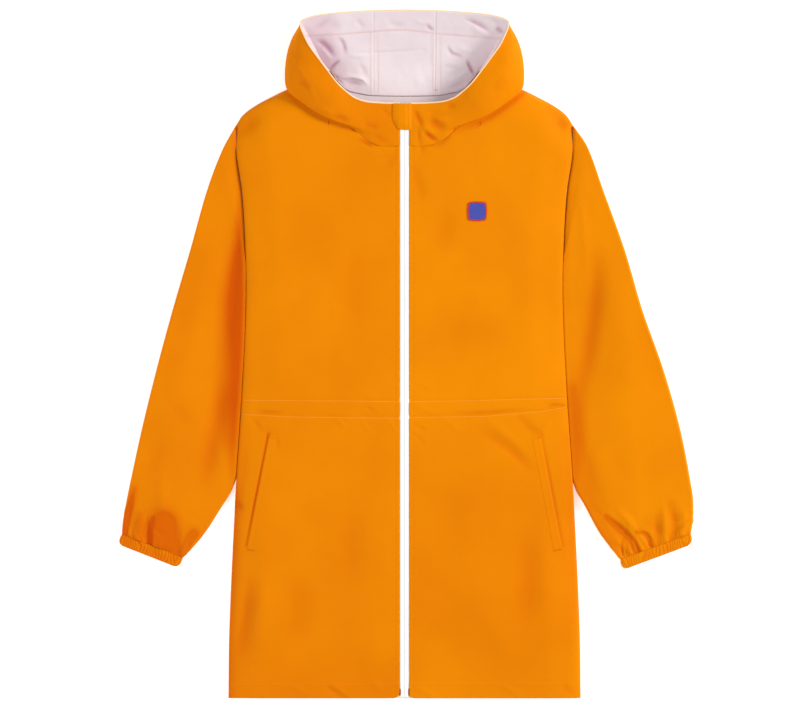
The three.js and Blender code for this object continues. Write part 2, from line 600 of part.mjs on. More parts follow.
for (const [half, panel, turn] of [['left', frontLeft, (p) => p], ['right', frontRight, turnedPlaces]]) {
  add(`waist_channel_${half}`, stripOn(panel, turn(frontChannel), CHANNEL.wall, false), ORANGE);
  add(`pocket_welt_${half}`, stripOn(panel, turn(weltPlaces), WELT.wall, true), ORANGE);
  add(`pocket_bag_${half}`, stripOn(panel, turn(bagPlaces), BAG.wall, false), ORANGE);
}

const patch = plate(PATCH.half, 2 * PATCH.half, PATCH.wall, 0, 0, PATCH.corner);
patch.translate(PATCH.x, PATCH.y, heightsAt(frontLeft, PATCH.x, PATCH.y).high + GAP - zipTop(0) - 2 * GAP);
add('chest_patch', patch, BLUE);

export default coat;
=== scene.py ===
# Long hooded raincoat laid front up: its cloth, zip, trims and stitches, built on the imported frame.
import bpy
import math
import numpy as np
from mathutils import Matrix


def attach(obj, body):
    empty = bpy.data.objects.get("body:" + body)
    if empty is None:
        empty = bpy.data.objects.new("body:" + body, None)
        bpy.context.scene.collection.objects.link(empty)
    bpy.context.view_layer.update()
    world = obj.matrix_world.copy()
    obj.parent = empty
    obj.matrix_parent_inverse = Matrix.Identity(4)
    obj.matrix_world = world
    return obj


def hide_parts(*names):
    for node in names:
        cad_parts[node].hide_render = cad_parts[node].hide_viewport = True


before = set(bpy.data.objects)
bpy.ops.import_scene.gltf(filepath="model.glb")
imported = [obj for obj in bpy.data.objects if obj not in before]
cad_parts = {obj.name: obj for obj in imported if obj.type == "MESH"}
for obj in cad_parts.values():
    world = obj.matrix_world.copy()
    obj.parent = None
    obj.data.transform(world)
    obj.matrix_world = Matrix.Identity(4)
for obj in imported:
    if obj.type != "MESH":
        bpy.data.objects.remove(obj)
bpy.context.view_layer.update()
scene = bpy.context.scene
mm = 0.001  # tables below are in millimetres, meshes in metres
sides = {"left": 1, "right": -1}  # the wearer's own; both are shaped in +X, and the right one is mirrored
shaping = {
    "noiseCells": 61, "noiseStart": (400.3, 300.7), "foldSteps": 13, "foldEnd": 0.4,
    "dark": 0.4, "fullPaintedShade": 2.6,  # painted shade of a trough, and the depth at which it is full
    "offFloor": 0.06,  # least height of a cloth's inner face
    "wave": 0.314,  # wave pattern's size at scale 1
}


def ease(t):
    t = np.clip(t, 0, 1)
    return t * t * (3 - 2 * t)


def mix(a, b, t):
    return a + (b - a) * t


def rounded(distance, width):  # quarter circle from 0 at the edge to 1 at the width
    t = np.clip(distance / width, 0, 1)
    return np.sqrt(t * (2 - t))


def smoothAt(knots, values, at):  # cubic through the values, as steep at each as its neighbours are apart
    knots, values, at = (np.asarray(v, float) for v in (knots, values, at))
    last = len(knots) - 1
    after = np.minimum(np.arange(last + 1) + 1, last)
    before = np.maximum(np.arange(last + 1) - 1, 0)
    deep = (1,) * (values.ndim - 1)
    slopes = (values[after] - values[before]) / (knots[after] - knots[before]).reshape((-1,) + deep)
    i = np.clip(np.searchsorted(knots, at, side="right") - 1, 0, last - 1)
    span = (knots[i + 1] - knots[i]).reshape(at.shape + deep)
    t = np.clip((at - knots[i]).reshape(at.shape + deep) / span, 0, 1)
    h = ease(t)
    bend = slopes[i] * t * (1 - t) ** 2 - slopes[i + 1] * t * t * (1 - t)
    return values[i] * (1 - h) + values[i + 1] * h + span * bend


def lengthsAlong(points):
    steps = np.linalg.norm(np.diff(points, axis=0), axis=1)
    return np.concatenate([[0], np.cumsum(steps)])


def alongLine(points, count):  # evenly spaced points on a smooth line through a few
    points = np.asarray(points, float)
    knots = lengthsAlong(points)
    return smoothAt(knots, points, np.linspace(0, knots[-1], count))


def atHeight(table, y):  # a value between those of a table of heights and values
    heights, values = zip(*table)
    return np.interp(y, heights, values)


def softNoise(x, y, size, seed):  # smooth unevenness from -1 to 1, its bumps about the size apart
    cells, (startX, startY) = shaping["noiseCells"], shaping["noiseStart"]
    table = np.random.default_rng(seed).uniform(-1, 1, (cells, cells))
    u, v = np.asarray(x) / size + startX, np.asarray(y) / size + startY
    i, j = np.floor(u).astype(int), np.floor(v).astype(int)
    fu, fv = ease(u - i), ease(v - j)
    at = lambda a, b: table[(i + a) % cells, (j + b) % cells]
    return mix(mix(at(0, 0), at(1, 0), fu), mix(at(0, 1), at(1, 1), fu), fv)


# A fold is a soft ridge (rise above 0) or trough along a smooth path. Ways are lean, which makes its left
# side wider, start and end, how much of it is left at its ends, and how much painted shade its trough gets.
def fold(wide, rise, *path, **ways):
    return dict(ways, path=path, wide=wide, rise=rise)


def foldHeight(x, y, folds):
    total = np.zeros(np.shape(x))
    steps = shaping["foldSteps"]
    for each in folds:
        line = alongLine(each["path"], steps + 1)
        best = np.full(total.shape, 1e9)
        along, side = np.zeros(total.shape), np.ones(total.shape)
        for i in range(steps):
            (ax, ay), (dx, dy) = line[i], line[i + 1] - line[i]
            t = np.clip(((x - ax) * dx + (y - ay) * dy) / (dx * dx + dy * dy), 0, 1)
            ox, oy = x - ax - t * dx, y - ay - t * dy
            near = np.hypot(ox, oy)
            closer = near < best
            best = np.where(closer, near, best)
            along = np.where(closer, (i + t) / steps, along)
            side = np.where(closer, np.sign(dx * oy - dy * ox), side)
        wide = each["wide"] * (1 + each.get("lean", 0) * side)
        fromStart, fromEnd = ease(along / shaping["foldEnd"]), ease((1 - along) / shaping["foldEnd"])
        taper = mix(each.get("start", 0), 1, fromStart) * mix(each.get("end", 0), 1, fromEnd)
        total += each["rise"] * taper * np.exp(-((best / wide) ** 2))
    return total


def hollows(x, y, folds):  # painted shade, 0 to 1, by how deep a place lies in the troughs of its folds
    deep = [each for each in folds if each["rise"] < 0]
    troughs = [dict(each, rise=each["rise"] * each.get("dark", shaping["dark"])) for each in deep]
    return np.clip(-foldHeight(x, y, troughs) / shaping["fullPaintedShade"], 0, 1)


def ditch(distance, wide):  # narrow groove that a row of stitches pulls in
    return -np.exp(-((distance / wide) ** 2))


def normalsOf(grid, around=False):
    if around:
        across = np.roll(grid, -1, axis=1) - np.roll(grid, 1, axis=1)
    else:
        across = np.gradient(grid, axis=1)
    normal = np.cross(across, np.gradient(grid, axis=0))
    return normal / np.maximum(np.linalg.norm(normal, axis=2, keepdims=True), 1e-9)


def turned(grid, sign):  # a grid on its own side of the middle
    return grid * np.array([sign, 1, 1])


def stacked(*values):  # points from their x, y and z
    return np.stack(np.broadcast_arrays(*values), -1)


# Closed wall of cloth between two equal grids of points, with lengths along the cloth as its UV map
# and its painted shade (0 to 1), which deepens the colour where shade falls, as its attribute.
def clothWall(name, outer, inner, around=False, hollow=0, sign=1):
    outer, inner = turned(outer, sign), turned(inner, sign)
    rows, cols = outer.shape[:2]
    spans = cols if around else cols - 1
    r, c = (place.ravel() for place in np.meshgrid(np.arange(rows - 1), np.arange(spans), indexing="ij"))

    def corners(layer, quad):
        return [layer * rows * cols + rr * cols + cc % cols for rr, cc in quad]

    quad = [(r, c), (r, c + 1), (r + 1, c + 1), (r + 1, c)]
    faces = [np.stack(corners(0, quad), 1), np.stack(corners(1, quad[::-1]), 1)]
    places = [quad, quad[::-1]]
    ends, down = np.arange(spans), np.arange(rows - 1)
    first, last, left, right = ends * 0, ends * 0 + rows - 1, down * 0, down * 0 + spans
    rims = [[(first, ends + 1), (first, ends)], [(last, ends), (last, ends + 1)]]
    if not around:
        rims += [[(down, left), (down + 1, left)], [(down + 1, right), (down, right)]]
    smooth = [np.ones(len(f), bool) for f in faces]
    for edge in rims:
        faces.append(np.stack(corners(0, edge) + corners(1, edge[::-1]), 1))
        places.append(edge + edge[::-1])
        smooth.append(np.zeros(len(faces[-1]), bool))
    points = np.concatenate([outer.reshape(-1, 3), inner.reshape(-1, 3)]) * mm
    faces = np.concatenate(faces)
    corner = points[faces]
    volume = sum(np.sum(corner[:, 0] * np.cross(corner[:, k], corner[:, k + 1])) for k in (1, 2))
    closed = np.concatenate([outer, outer[:, :1]], axis=1) if around else outer
    across = np.pad(np.cumsum(np.linalg.norm(np.diff(closed, axis=1), axis=2), axis=1), ((0, 0), (1, 0)))
    along = np.pad(np.cumsum(np.linalg.norm(np.diff(closed, axis=0), axis=2), axis=0), ((1, 0), (0, 0)))
    flat = np.stack([across, along], 2)
    uv = np.concatenate([np.stack([flat[a, b] for a, b in place], 1) for place in places])
    if volume < 0:  # faces point outwards
        faces, uv = faces[:, ::-1], uv[:, ::-1]
    mesh = bpy.data.meshes.new(name)
    mesh.from_pydata(points.tolist(), [], faces.tolist())
    mesh.uv_layers.new(name="cloth").data.foreach_set("uv", (uv * mm).ravel())
    mesh.polygons.foreach_set("use_smooth", np.concatenate(smooth))
    depth = np.broadcast_to(hollow, (rows, cols)).astype(np.float32).ravel()
    mesh.attributes.new("hollow", "FLOAT", "POINT").data.foreach_set("value", np.concatenate([depth, depth]))
    mesh.update()
    return linked(name, mesh)


def linked(name, data):
    made = bpy.data.objects.new(name, data)
    scene.collection.objects.link(made)
    return made


# Cloth of one thickness under (or inside) its outer face.
def clothOf(name, outer, thick, flip=False, **ways):
    inner = outer + normalsOf(outer, ways.get("around", False)) * (1 if flip else -1) * thick
    inner[..., 2] = np.maximum(inner[..., 2], shaping["offFloor"])
    return clothWall(name, outer, inner, **ways)


def declared(piece, slot, *nodes):
    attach(piece, "root")
    if nodes:
        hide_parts(*nodes)
    return piece


def finished(piece, material, slot, *nodes):
    piece.data.materials.clear()
    piece.data.materials.append(material)
    return declared(piece, slot, *nodes)


# Nodes of a material or a geometry tree, with their inputs set or linked by name or number.
def addNode(tree, kind, inputs=None, **settings):
    made = tree.nodes.new(kind)
    for name, value in settings.items():
        setattr(made, name, value)
    for name, value in (inputs or {}).items():
        socket = made.inputs[name]
        if isinstance(value, bpy.types.NodeSocket):
            tree.links.new(value, socket)
        else:
            socket.default_value = value
    return made


def colour(red, green, blue):  # display values 0 to 255
    return tuple((v / 255) ** 2.2 for v in (red, green, blue)) + (1,)


def emptyMaterial(name):
    material = bpy.data.materials.new(name)
    material.use_nodes = True
    material.node_tree.nodes.clear()
    return material, material.node_tree


def twoTones(tree, factor, look):  # the deep colour clouded with the light one
    ramp = addNode(tree, "ShaderNodeValToRGB", {"Fac": factor})
    for i, (position, tone) in enumerate(((0.35, look["deep"]), (0.65, look["light"]))):
        ramp.color_ramp.elements[i].position, ramp.color_ramp.elements[i].color = position, colour(*tone)
    return ramp.outputs["Color"]


# Woven cloth: soft clouds of tone, deepened by painted shade; fine crinkle and plain weave from bump.
def clothMaterial(name, look):
    material, tree = emptyMaterial(name)
    place = addNode(tree, "ShaderNodeTexCoord").outputs["Object"]
    cloth = addNode(tree, "ShaderNodeUVMap", uv_map="cloth").outputs["UV"]
    clouds = addNode(tree, "ShaderNodeTexNoise", {
        "Vector": place, "Scale": 1 / look["cloud"], "Detail": 3}).outputs["Fac"]
    hollow = addNode(tree, "ShaderNodeAttribute", attribute_name="hollow").outputs["Fac"]
    tones = {0: hollow, 6: twoTones(tree, clouds, look), 7: colour(*look["hollow"])}
    tone = addNode(tree, "ShaderNodeMix", tones, data_type="RGBA")
    least, most = look["rough"]
    rough = addNode(tree, "ShaderNodeMapRange", {"Value": clouds, "To Min": least, "To Max": most})
    crinkle = addNode(tree, "ShaderNodeTexNoise", {
        "Vector": place, "Scale": 1 / look["crinkle"], "Detail": 4, "Roughness": 0.55}).outputs["Fac"]
    bump = addNode(tree, "ShaderNodeBump", {"Height": crinkle, "Strength": look["crinkled"], "Distance": mm})
    for direction in ("X", "Y"):
        threads = {"Vector": cloth, "Scale": shaping["wave"] / look["weave"]}
        weave = addNode(tree, "ShaderNodeTexWave", threads, bands_direction=direction).outputs["Fac"]
        bump = addNode(tree, "ShaderNodeBump", {
            "Height": weave, "Strength": look["woven"], "Distance": 0.0001, "Normal": bump.outputs["Normal"]})
    shader = addNode(tree, "ShaderNodeBsdfPrincipled", {
        "Base Color": tone.outputs[2], "Roughness": rough.outputs["Result"], "Normal": bump.outputs["Normal"],
        "Sheen Weight": look["sheen"], "Specular IOR Level": look["specular"]})
    addNode(tree, "ShaderNodeOutputMaterial", {"Surface": shader.outputs["BSDF"]})
    return material


# Colours, the deeper one painted as shade, size of the clouds, roughness, size and strength of crinkle and
# weave (metres), gloss.
shellCloth = clothMaterial("shellCloth", {
    "light": (236, 137, 0), "deep": (230, 131, 0), "hollow": (207, 84, 3), "cloud": 0.12, "rough": (0.6, 0.7),
    "crinkle": 0.012, "crinkled": 0.25, "weave": 0.0009, "woven": 0.3, "sheen": 0.0, "specular": 0.04})
paleLining = clothMaterial("paleLining", {
    "light": (238, 224, 227), "deep": (233, 216, 221), "hollow": (204, 166, 182), "cloud": 0.06,
    "rough": (0.6, 0.72), "crinkle": 0.009, "crinkled": 0.35, "weave": 0.0012, "woven": 0.3, "sheen": 0.05,
    "specular": 0.3})
zipTape = clothMaterial("zipTape", {
    "light": (252, 252, 251), "deep": (249, 249, 249), "hollow": (246, 246, 246), "cloud": 0.03,
    "rough": (0.42, 0.5), "crinkle": 0.006, "crinkled": 0.05, "weave": 0.0016, "woven": 0.3, "sheen": 0,
    "specular": 0.4})
# the turned rim: pale cloth, coloured peach as a painted highlight along the edge
rimTurnHighlight = clothMaterial("rimTurnHighlight", {
    "light": (255, 226, 184), "deep": (252, 216, 170), "hollow": (244, 170, 110), "cloud": 0.03,
    "rough": (0.5, 0.6), "crinkle": 0.006, "crinkled": 0.1, "weave": 0.0008, "woven": 0.2, "sheen": 0.05,
    "specular": 0.3})

# The body: two fronts over one back, their side edges resting on tucked sleeves.
body = {
    "side": [(-488, 250.5), (-383, 249), (-192, 240), (-58, 231), (78, 225), (163, 226.5), (234, 231),
             (284, 238.5), (326, 240)],  # height, half width
    "hem": -488, "frontEdge": 7, "tipY": 326,
    "shoulder": [(111, 405), (151, 385.5), (187, 368), (213, 354), (230, 341), (240, 326)],  # neck point to tip
    "neckPoints": 60, "shoulderPoints": 40, "shoulderPieces": 22,
    "chestLoft": 16, "hemLoft": 8, "hemEase": 160,
    "sideRound": 18, "sideEase": 52, "sideShare": 0.5, "shoulderRound": 45,
    "tuckLift": 6.6, "tuckWidth": 56, "tuckEase": 30, "tuckTop": 185, "tuckBottom": -240, "tuckRamp": 40,
    "wall": 1.2, "gap": 0.3, "cloth": 0.8,
    "frontRows": [(-488, 1.6), (-462, 5), (-125, 1.6), (-92, 0.9), (-52, 2), (-30, 5), (326, 0)],
    "backRows": [(-488, 2.6), (-462, 6), (-110, 2), (-50, 6), (326, 0)],  # from each height on, their spacing
    "frontColumns": [(0, 0.9), (0.035, 3.8), (0.4, 2.6), (0.69, 1.9), (1, 0)],  # by share of the top edge
    "backColumns": [(0, 5.6), (1, 0)],
    "corner": {"left": 5, "right": 9},  # rounding where each front meets zip and hem
}
shoulderLine = alongLine(body["shoulder"], body["shoulderPieces"])


def bodyHalf(y):
    heights, halves = zip(*body["side"])
    return smoothAt(heights, halves, np.clip(y, body["hem"], body["tipY"]))


def insideShoulder(x, y):  # the shoulder curves outwards, so its nearest stretch gives the distance
    inside = np.full(np.broadcast(x, y).shape, np.inf)
    for (ax, ay), (bx, by) in zip(shoulderLine, shoulderLine[1:]):
        dx, dy = bx - ax, by - ay
        inside = np.minimum(inside, ((x - ax) * dy - (y - ay) * dx) / math.hypot(dx, dy))
    return inside


def tuckedLength(y):
    return ease((y - body["tuckBottom"]) / body["tuckRamp"])


def backUnder(x, y):  # underside of the back, lifted where a sleeve is tucked under it
    inside = bodyHalf(y) - x
    lifted = 1 - ease((inside - body["tuckWidth"]) / body["tuckEase"])
    return body["tuckLift"] * lifted * tuckedLength(y) * ease((body["tuckTop"] - y) / body["tuckRamp"])


def frontUnder(x, y):  # underside of a front
    rest = body["wall"] + body["gap"]
    side = body["tuckLift"] * tuckedLength(y) * ease((body["tipY"] - y) / body["tuckRamp"])
    loft = mix(body["hemLoft"], body["chestLoft"], ease((y - body["hem"]) / body["hemEase"])) - rest
    inside = bodyHalf(y) - x
    share = mix(ease(inside / body["sideEase"]), rounded(inside, body["sideRound"]), body["sideShare"])
    raised = mix(side, loft, share)
    return rest + raised * rounded(insideShoulder(x, y), body["shoulderRound"])


# The hood, from the zip round to the middle of the back: each row of the tables is one line of cloth.
hood = {
    "rim": [(7, 357.4, 21), (24, 357.4, 21.5), (38, 358, 22.6), (54, 359.5, 25), (65, 362.5, 27.6),
            (75, 367.5, 30), (94, 384, 36), (110, 404, 41), (122, 420, 44), (135, 438, 46), (143, 454, 47),
            (147.5, 466, 48), (145, 474, 48), (125, 480.5, 46), (92, 484.5, 44), (44, 487.6, 42.6),
            (0, 488.4, 42)],  # x, y, z
    "fold": [(7, 327, 20.2, 18.6), (24, 326, 20.6, 18.7), (41, 322, 21, 18.8), (59, 321.5, 21.8, 19),
             (71, 324.5, 22.4, 18.6), (85, 328.5, 23, 18.2), (116, 339.5, 24, 18), (146, 359, 24, 18),
             (166, 376, 22, 15.6), (170, 396, 20, 10.5), (167, 426, 20, 4), (158, 451, 21, 1),
             (144, 468, 21, 0), (123, 475, 20, 0), (91, 478.5, 20, 0), (44, 481.4, 20, 0),
             (0, 482, 20, 0)],  # x, y, z, z of its underside
    "neck": [(7, 298, 17.2), (24, 297, 17.2), (40, 299, 17.2), (57, 308, 17.2), (66, 316, 18),
             (74, 324, 17.8), (91, 345, 17.8), (102, 365, 17.7), (108, 384, 15.5), (110, 396, 11.6),
             (111, 405, 3.8), (104, 401, 0.8), (96, 391, 0), (82, 377, 0), (62, 371.5, 0), (44, 369, 0),
             (0, 368, 0)],  # x, y, z
    "neckRow": 10,  # its row at the neck point
}


def stepped(table):  # places along a line, from a table of starts and the steps that follow them
    places = []
    for (start, step), (end, _) in zip(table, table[1:]):
        places.extend(np.linspace(start, end, max(2, round(abs(end - start) / step) + 1))[:-1])
    return np.array(places + [end])


def topEdge(neckLine, columns):  # neck edge and then the shoulder
    neckLine = np.array([row[:2] for row in neckLine], float)
    shoulder = alongLine(body["shoulder"], body["shoulderPoints"])
    line = np.concatenate([alongLine(neckLine, body["neckPoints"]), shoulder[1:]])
    knots = lengthsAlong(line)
    at = stepped([(share * knots[-1], step) for share, step in columns])
    return np.stack([np.interp(at, knots, line[:, 0]), np.interp(at, knots, line[:, 1])], 1)


def bodyPlaces(edge, startX, rows, corner):
    sideY = stepped(rows)[:, None]
    up = (sideY - body["hem"]) / (body["tipY"] - body["hem"])
    share = (edge[:, 0] - startX) / (edge[-1, 0] - startX)
    cut = corner * (1 - rounded(sideY - body["hem"], corner))
    return mix(startX + cut, bodyHalf(sideY), share), mix(body["hem"], edge[:, 1], up)


# What shows on both fronts: waist channel, hem and zip edge, each between rows of stitches.
front = {
    "calm": {"hem": 30, "side": 20, "zip": 25},  # how far from each edge the cloth is still
    "foldFade": (3, 12),  # folds fade out from so far inside the side edge to so far outside it
    "bumps": [(0.8, 70), (0.3, 26)], "seed": {"left": 11, "right": 12},  # height and size
    "channel": {
        "left": {"outer": [(8, -66.4), (60, -65.6), (120, -64.2), (222, -61.5)],
                 "inner": [(8, -89), (113, -87.4), (147, -84.5), (196, -80), (228, -74.8)]},
        "right": {"outer": [(8, -66.4), (90, -65.3), (170, -65), (222, -64.2)],
                  "inner": [(8, -90), (90, -89), (165, -88), (232, -84.3)]},
        "puff": 0.3, "puffEase": 9, "dip": 0.95, "evenDip": 0.6, "sharp": 0.9, "soft": 5.5,
        "slope": (0.6, 1), "even": 0.55, "unevenSize": 30,  # outer, inner
        "pucker": 0.3, "pitch": 15, "stretch": 0.25, "above": (7, 9), "below": (8, 10)},  # middle, reach
    "hem": {"height": 20, "ridge": 0.4, "wide": 1.5, "puff": 0.4, "puffEase": 6},
    "zipEdge": {"inside": 5.5, "groove": 0.2, "wide": 1.3},
    # painted shade along the side edge, by height; below 0 it takes the painted shade by height away there
    "paintedSideShade": {"left": [(-488, -0.2), (-300, -0.2), (-180, -0.12), (-100, 0), (326, 0)],
                  "right": [(-488, 0.3), (-300, 0.6), (-200, 0.6), (-180, 0.3), (-70, 0.15), (60, 0.05),
                            (326, 0)]},
    "paintedSideShadeWidth": 8,
    "paintedDeepen": {"left": [(-488, 0.08), (-380, 0.2), (-200, 0.16), (-60, 0), (326, 0)],
               "right": [(-488, 0.3), (-400, 0.14), (-200, 0.08), (326, 0.06)]},  # y, how much painted shade is added
    "left": [
        fold(7, -1.6, (93, -101), (129, -121), (161, -146), (192, -178), lean=0.4),
        fold(6, 1.2, (121, -96), (150, -119), (182, -150), start=0.6),
        fold(6, -1.2, (164, -90), (180, -106), (200, -121), start=0.7),
        fold(3, -0.6, (16, -42), (26, -48), (38, -52), start=0.5),
        fold(3.5, 0.6, (13, -70), (28, -77), (45, -84), start=0.6),
        fold(3, -0.7, (14, -98), (22, -104), (34, -108), start=0.6),
        fold(2.5, -0.7, (14, -114), (22, -120), (30, -131), start=0.6),
        fold(3.5, 0.6, (58, -92), (72, -104), (84, -110), start=0.7),
        fold(7, -1.2, (215, 337), (224, 328), (232, 320)),
        fold(10, -1.6, (207, 352), (221, 333), (236, 312), start=0.5),
        fold(4, 0.8, (11, -471), (25, -477), (42, -486), end=0.7),
        fold(4, 0.6, (136, -467), (150, -476), (164, -484), end=0.6),
        fold(5, -0.7, (221, -467), (232, -476), (241, -484), end=0.5),
        fold(7, -1, (13, 263), (20, 241), (26, 213), start=0.5),
        fold(16, -1.1, (50, 226), (59, 178), (45, 132)),
        fold(26, 1.2, (150, 263), (168, 178), (164, 78)),
        fold(22, 1.1, (65, -163), (93, -234), (79, -334)),
        fold(18, -1.4, (164, -234), (178, -305), (171, -405)),
        fold(18, 1.2, (107, -348), (136, -405), (160, -452)),
        fold(12, -1.5, (233, -120), (238, -190), (243, -290), (246, -420), start=0.4),
        fold(3, -1.2, (34, 301), (48, 299), (60, 308), (72, 319), lean=-0.4, dark=1),
        fold(2, -1, (24, 300), (25, 292), (28, 285), dark=1, start=0.7),
        fold(4, 1, (30, 296), (40, 290), (52, 292)),
        # painted shade on the front under the hood's lower edge
        fold(4, -1.4, (172, 376), (150, 357), (120, 337), (92, 325.5), (72, 320), dark=1.2, start=0.8,
             end=0.5),
        fold(5, 1, (209, -90), (200, -102), (190, -116)),
        fold(3, -0.6, (56, -82), (100, -82.5), (140, -80), (180, -76), dark=1.2),
        fold(2.4, -0.7, (200, -74), (212, -71), (226, -72), dark=1.4, end=0.8),
        fold(24, -0.8, (30, 60), (90, 30), (150, 40)),
        fold(1.9, -0.9, (194, -112), (209, -190), (225, -270), start=0.5, end=0.6, dark=1.3),  # pocket line, with painted shade in its trough
    ],
    "right": [
        fold(12, -2.4, (218, -300), (224, -362), (231, -405), (234, -450), lean=-0.3),
        fold(14, 1.2, (205, -300), (208, -362), (214, -420)),
        fold(7, -0.9, (225, -106), (228, -149), (234, -199), (240, -240), start=0.5),
        fold(4.5, -1.1, (219, -90), (207, -102), (196, -114), lean=-0.5, start=0.3, end=0.8),
        fold(4, -0.7, (190, -104), (182, -116), (178, -140), lean=0.4),
        fold(6, -2, (242, -205), (236, -211), (228, -222), lean=0.5, start=0.6),
        fold(5, 1.2, (212, -89), (204, -102), (198, -116)),
        fold(8, -1.3, (225, 343), (219, 334), (202, 325)),
        fold(9, -1.6, (238, 318), (226, 320), (211, 328), start=0.6),
        fold(3, -0.6, (216, -79), (194, -81), (166, -82), dark=1.4),
        fold(3, -0.7, (58, -72), (50, -76), (42, -84), start=0.4, end=0.5),
        fold(3.5, 0.5, (52, -58), (44, -62), (36, -60), start=0.5, end=0.5),
        fold(3, 0.6, (96, -92), (88, -98), (82, -106), start=0.7),
        fold(3, 0.6, (62, -90), (54, -104), (44, -114), start=0.6),
        fold(2.5, 0.6, (24, -92), (17, -100), (12, -112), start=0.6),
        fold(4, 0.8, (163, -468), (154, -473), (141, -482), end=0.7),
        fold(4, -1, (117, -467), (103, -476), (86, -487), end=0.7),
        fold(4, 0.9, (107, -467), (95, -475), (80, -486), end=0.7),
        fold(4, 0.8, (52, -462), (40, -469), (29, -481)),
        fold(6, -0.9, (12, 291), (18, 277), (32, 262), start=0.6),
        fold(2.6, -1.5, (68, 309), (60, 303), (52, 299), (40, 298), lean=-0.4, dark=1.2, end=0.5),
        fold(4, 0.9, (66, 298), (50, 290), (34, 290)),
        fold(3, -0.6, (40, 286), (28, 284), (14, 286), end=0.5),
        # painted shade on the front under the hood's lower edge
        fold(4, -1.2, (170, 376), (146, 354), (118, 335), (88, 324), (70, 320), dark=0.8, start=0.8,
             end=0.6),
        fold(24, 1, (148, 248), (106, 178), (92, 78)),
        fold(20, -0.9, (60, 190), (70, 100), (64, 0)),
        fold(20, 1, (148, -178), (106, -234), (92, -334)),
        fold(18, -1, (63, -206), (77, -263), (63, -348)),
        fold(20, -1.2, (163, -291), (148, -348), (154, -430)),
        fold(14, 0.8, (20, -380), (50, -420), (52, -455)),
        fold(1.8, -1.2, (193.5, -112), (209, -190), (225, -270), start=0.9, end=0.6, dark=1.9),  # pocket line, with painted shade in its trough
    ],
}


def bumps(x, y, table, seed):
    return sum(height * softNoise(x, y, size, seed + i) for i, (height, size) in enumerate(table))


def lineY(line, x):
    return np.interp(x, *zip(*line))


def channelLines(side, x):
    return [lineY(front["channel"][side][line], x) for line in ("outer", "inner")]


def frontTop(side, x, y):
    calm, channel, hem, edge = (front[part] for part in ("calm", "channel", "hem", "zipEdge"))
    seed, fromHem, fromSide, fromZip = front["seed"][side], y - body["hem"], bodyHalf(y) - x, x - body["frontEdge"]
    top = frontUnder(x, y) + body["wall"]
    still = ease(fromHem / calm["hem"]) * ease(fromSide / calm["side"]) * ease(fromZip / calm["zip"])
    top += still * bumps(x, y, front["bumps"], seed)
    fadeStart, fadeWidth = front["foldFade"]
    top += foldHeight(x, y, front[side]) * ease((fromSide + fadeStart) / fadeWidth)
    high, low = channelLines(side, x)
    top += channel["puff"] * rounded(high - y, channel["puffEase"]) * rounded(y - low, channel["puffEase"])
    (above, aboveReach), (below, belowReach) = channel["above"], channel["below"]
    near = -ditch(y - high - above, aboveReach) - ditch(y - low + below, belowReach)
    top += channel["pucker"] * softNoise(x, y * channel["stretch"], channel["pitch"], seed + 2) * near
    uneven = mix(softNoise(x, 0 * y, channel["unevenSize"], seed + 4), 1, channel["even"])
    for line, slope in zip((high, low), channel["slope"]):  # gentle above each seam, sharp below it
        wide = np.where(y < line, channel["sharp"], channel["sharp"] + slope * uneven * channel["soft"])
        top += channel["dip"] * mix(slope * uneven, 1, channel["evenDip"]) * ditch(y - line, wide)
    top += hem["puff"] * rounded(hem["height"] - fromHem, hem["puffEase"])
    top -= hem["ridge"] * ditch(fromHem - hem["height"], hem["wide"])
    return top + edge["groove"] * ditch(fromZip - edge["inside"], edge["wide"])


def paintedSideShade(side, x, y):  # painted shade, deeper towards the side edge and by height
    fromSide = np.maximum(bodyHalf(y) - x, 0)
    paintedDarkening = atHeight(front["paintedSideShade"][side], y) * np.exp(-((fromSide / front["paintedSideShadeWidth"]) ** 1.5))
    return atHeight(front["paintedDeepen"][side], y) + paintedDarkening


frontLine = topEdge(hood["neck"][:hood["neckRow"] + 1], body["frontColumns"])
for side, sign in sides.items():
    x, y = bodyPlaces(frontLine, body["frontEdge"], body["frontRows"], body["corner"][side])
    outer = stacked(x, y, frontTop(side, x, y))
    # painted shade in the fronts' troughs and towards their side edges
    hollow = np.clip(hollows(x, y, front[side]) + paintedSideShade(side, x, y), 0, 1)
    frontPiece = clothOf("front" + side.capitalize(), outer, body["cloth"], hollow=hollow, sign=sign)
    finished(frontPiece, shellCloth, "shell", "front_" + side, "waist_channel_" + side, "pocket_bag_" + side)
print("fronts made")

back = {
    "seam": 0.7, "seamWide": 3, "pucker": 0.7, "pitch": 12, "above": 11, "below": 13, "seed": 31, "corner": 0.1,
    "folds": [
        fold(16, 1.6, (-120, 250), (-60, 180), (20, 90)),
        fold(18, 1.8, (140, 230), (90, 120), (100, -20)),
        fold(18, 1.8, (-150, 60), (-110, -60), (-130, -200)),
        fold(16, 1.5, (-60, -230), (-20, -330), (-40, -440)),
        fold(18, 1.8, (90, -180), (130, -300), (110, -430)),
        fold(10, 1.2, (-190, -300), (-196, -380), (-190, -470), end=0.6),
        fold(12, 1.2, (10, 330), (0, 250), (12, 180), start=0.4),
        fold(5, 0.8, (30, -95), (44, -112), (50, -134), start=0.7),
        fold(5, 0.8, (-90, -95), (-104, -112), (-110, -134), start=0.7),
    ],
}


def backFace(x, y):  # height of the back's underside with its folds and seams
    high, low = channelLines("left", np.abs(x))
    hemLine = body["hem"] + front["hem"]["height"]
    seam = -sum(ditch(y - line, back["seamWide"]) for line in (high, low, hemLine))
    puckers = softNoise(x, y * front["channel"]["stretch"], back["pitch"], back["seed"])
    puckers *= -ditch(y - high, back["above"]) - ditch(y - low, back["below"])
    folds = np.maximum(foldHeight(x, y, back["folds"]), 0)
    return backUnder(np.abs(x), y) + folds + back["seam"] * seam + np.maximum(back["pucker"] * puckers, 0)


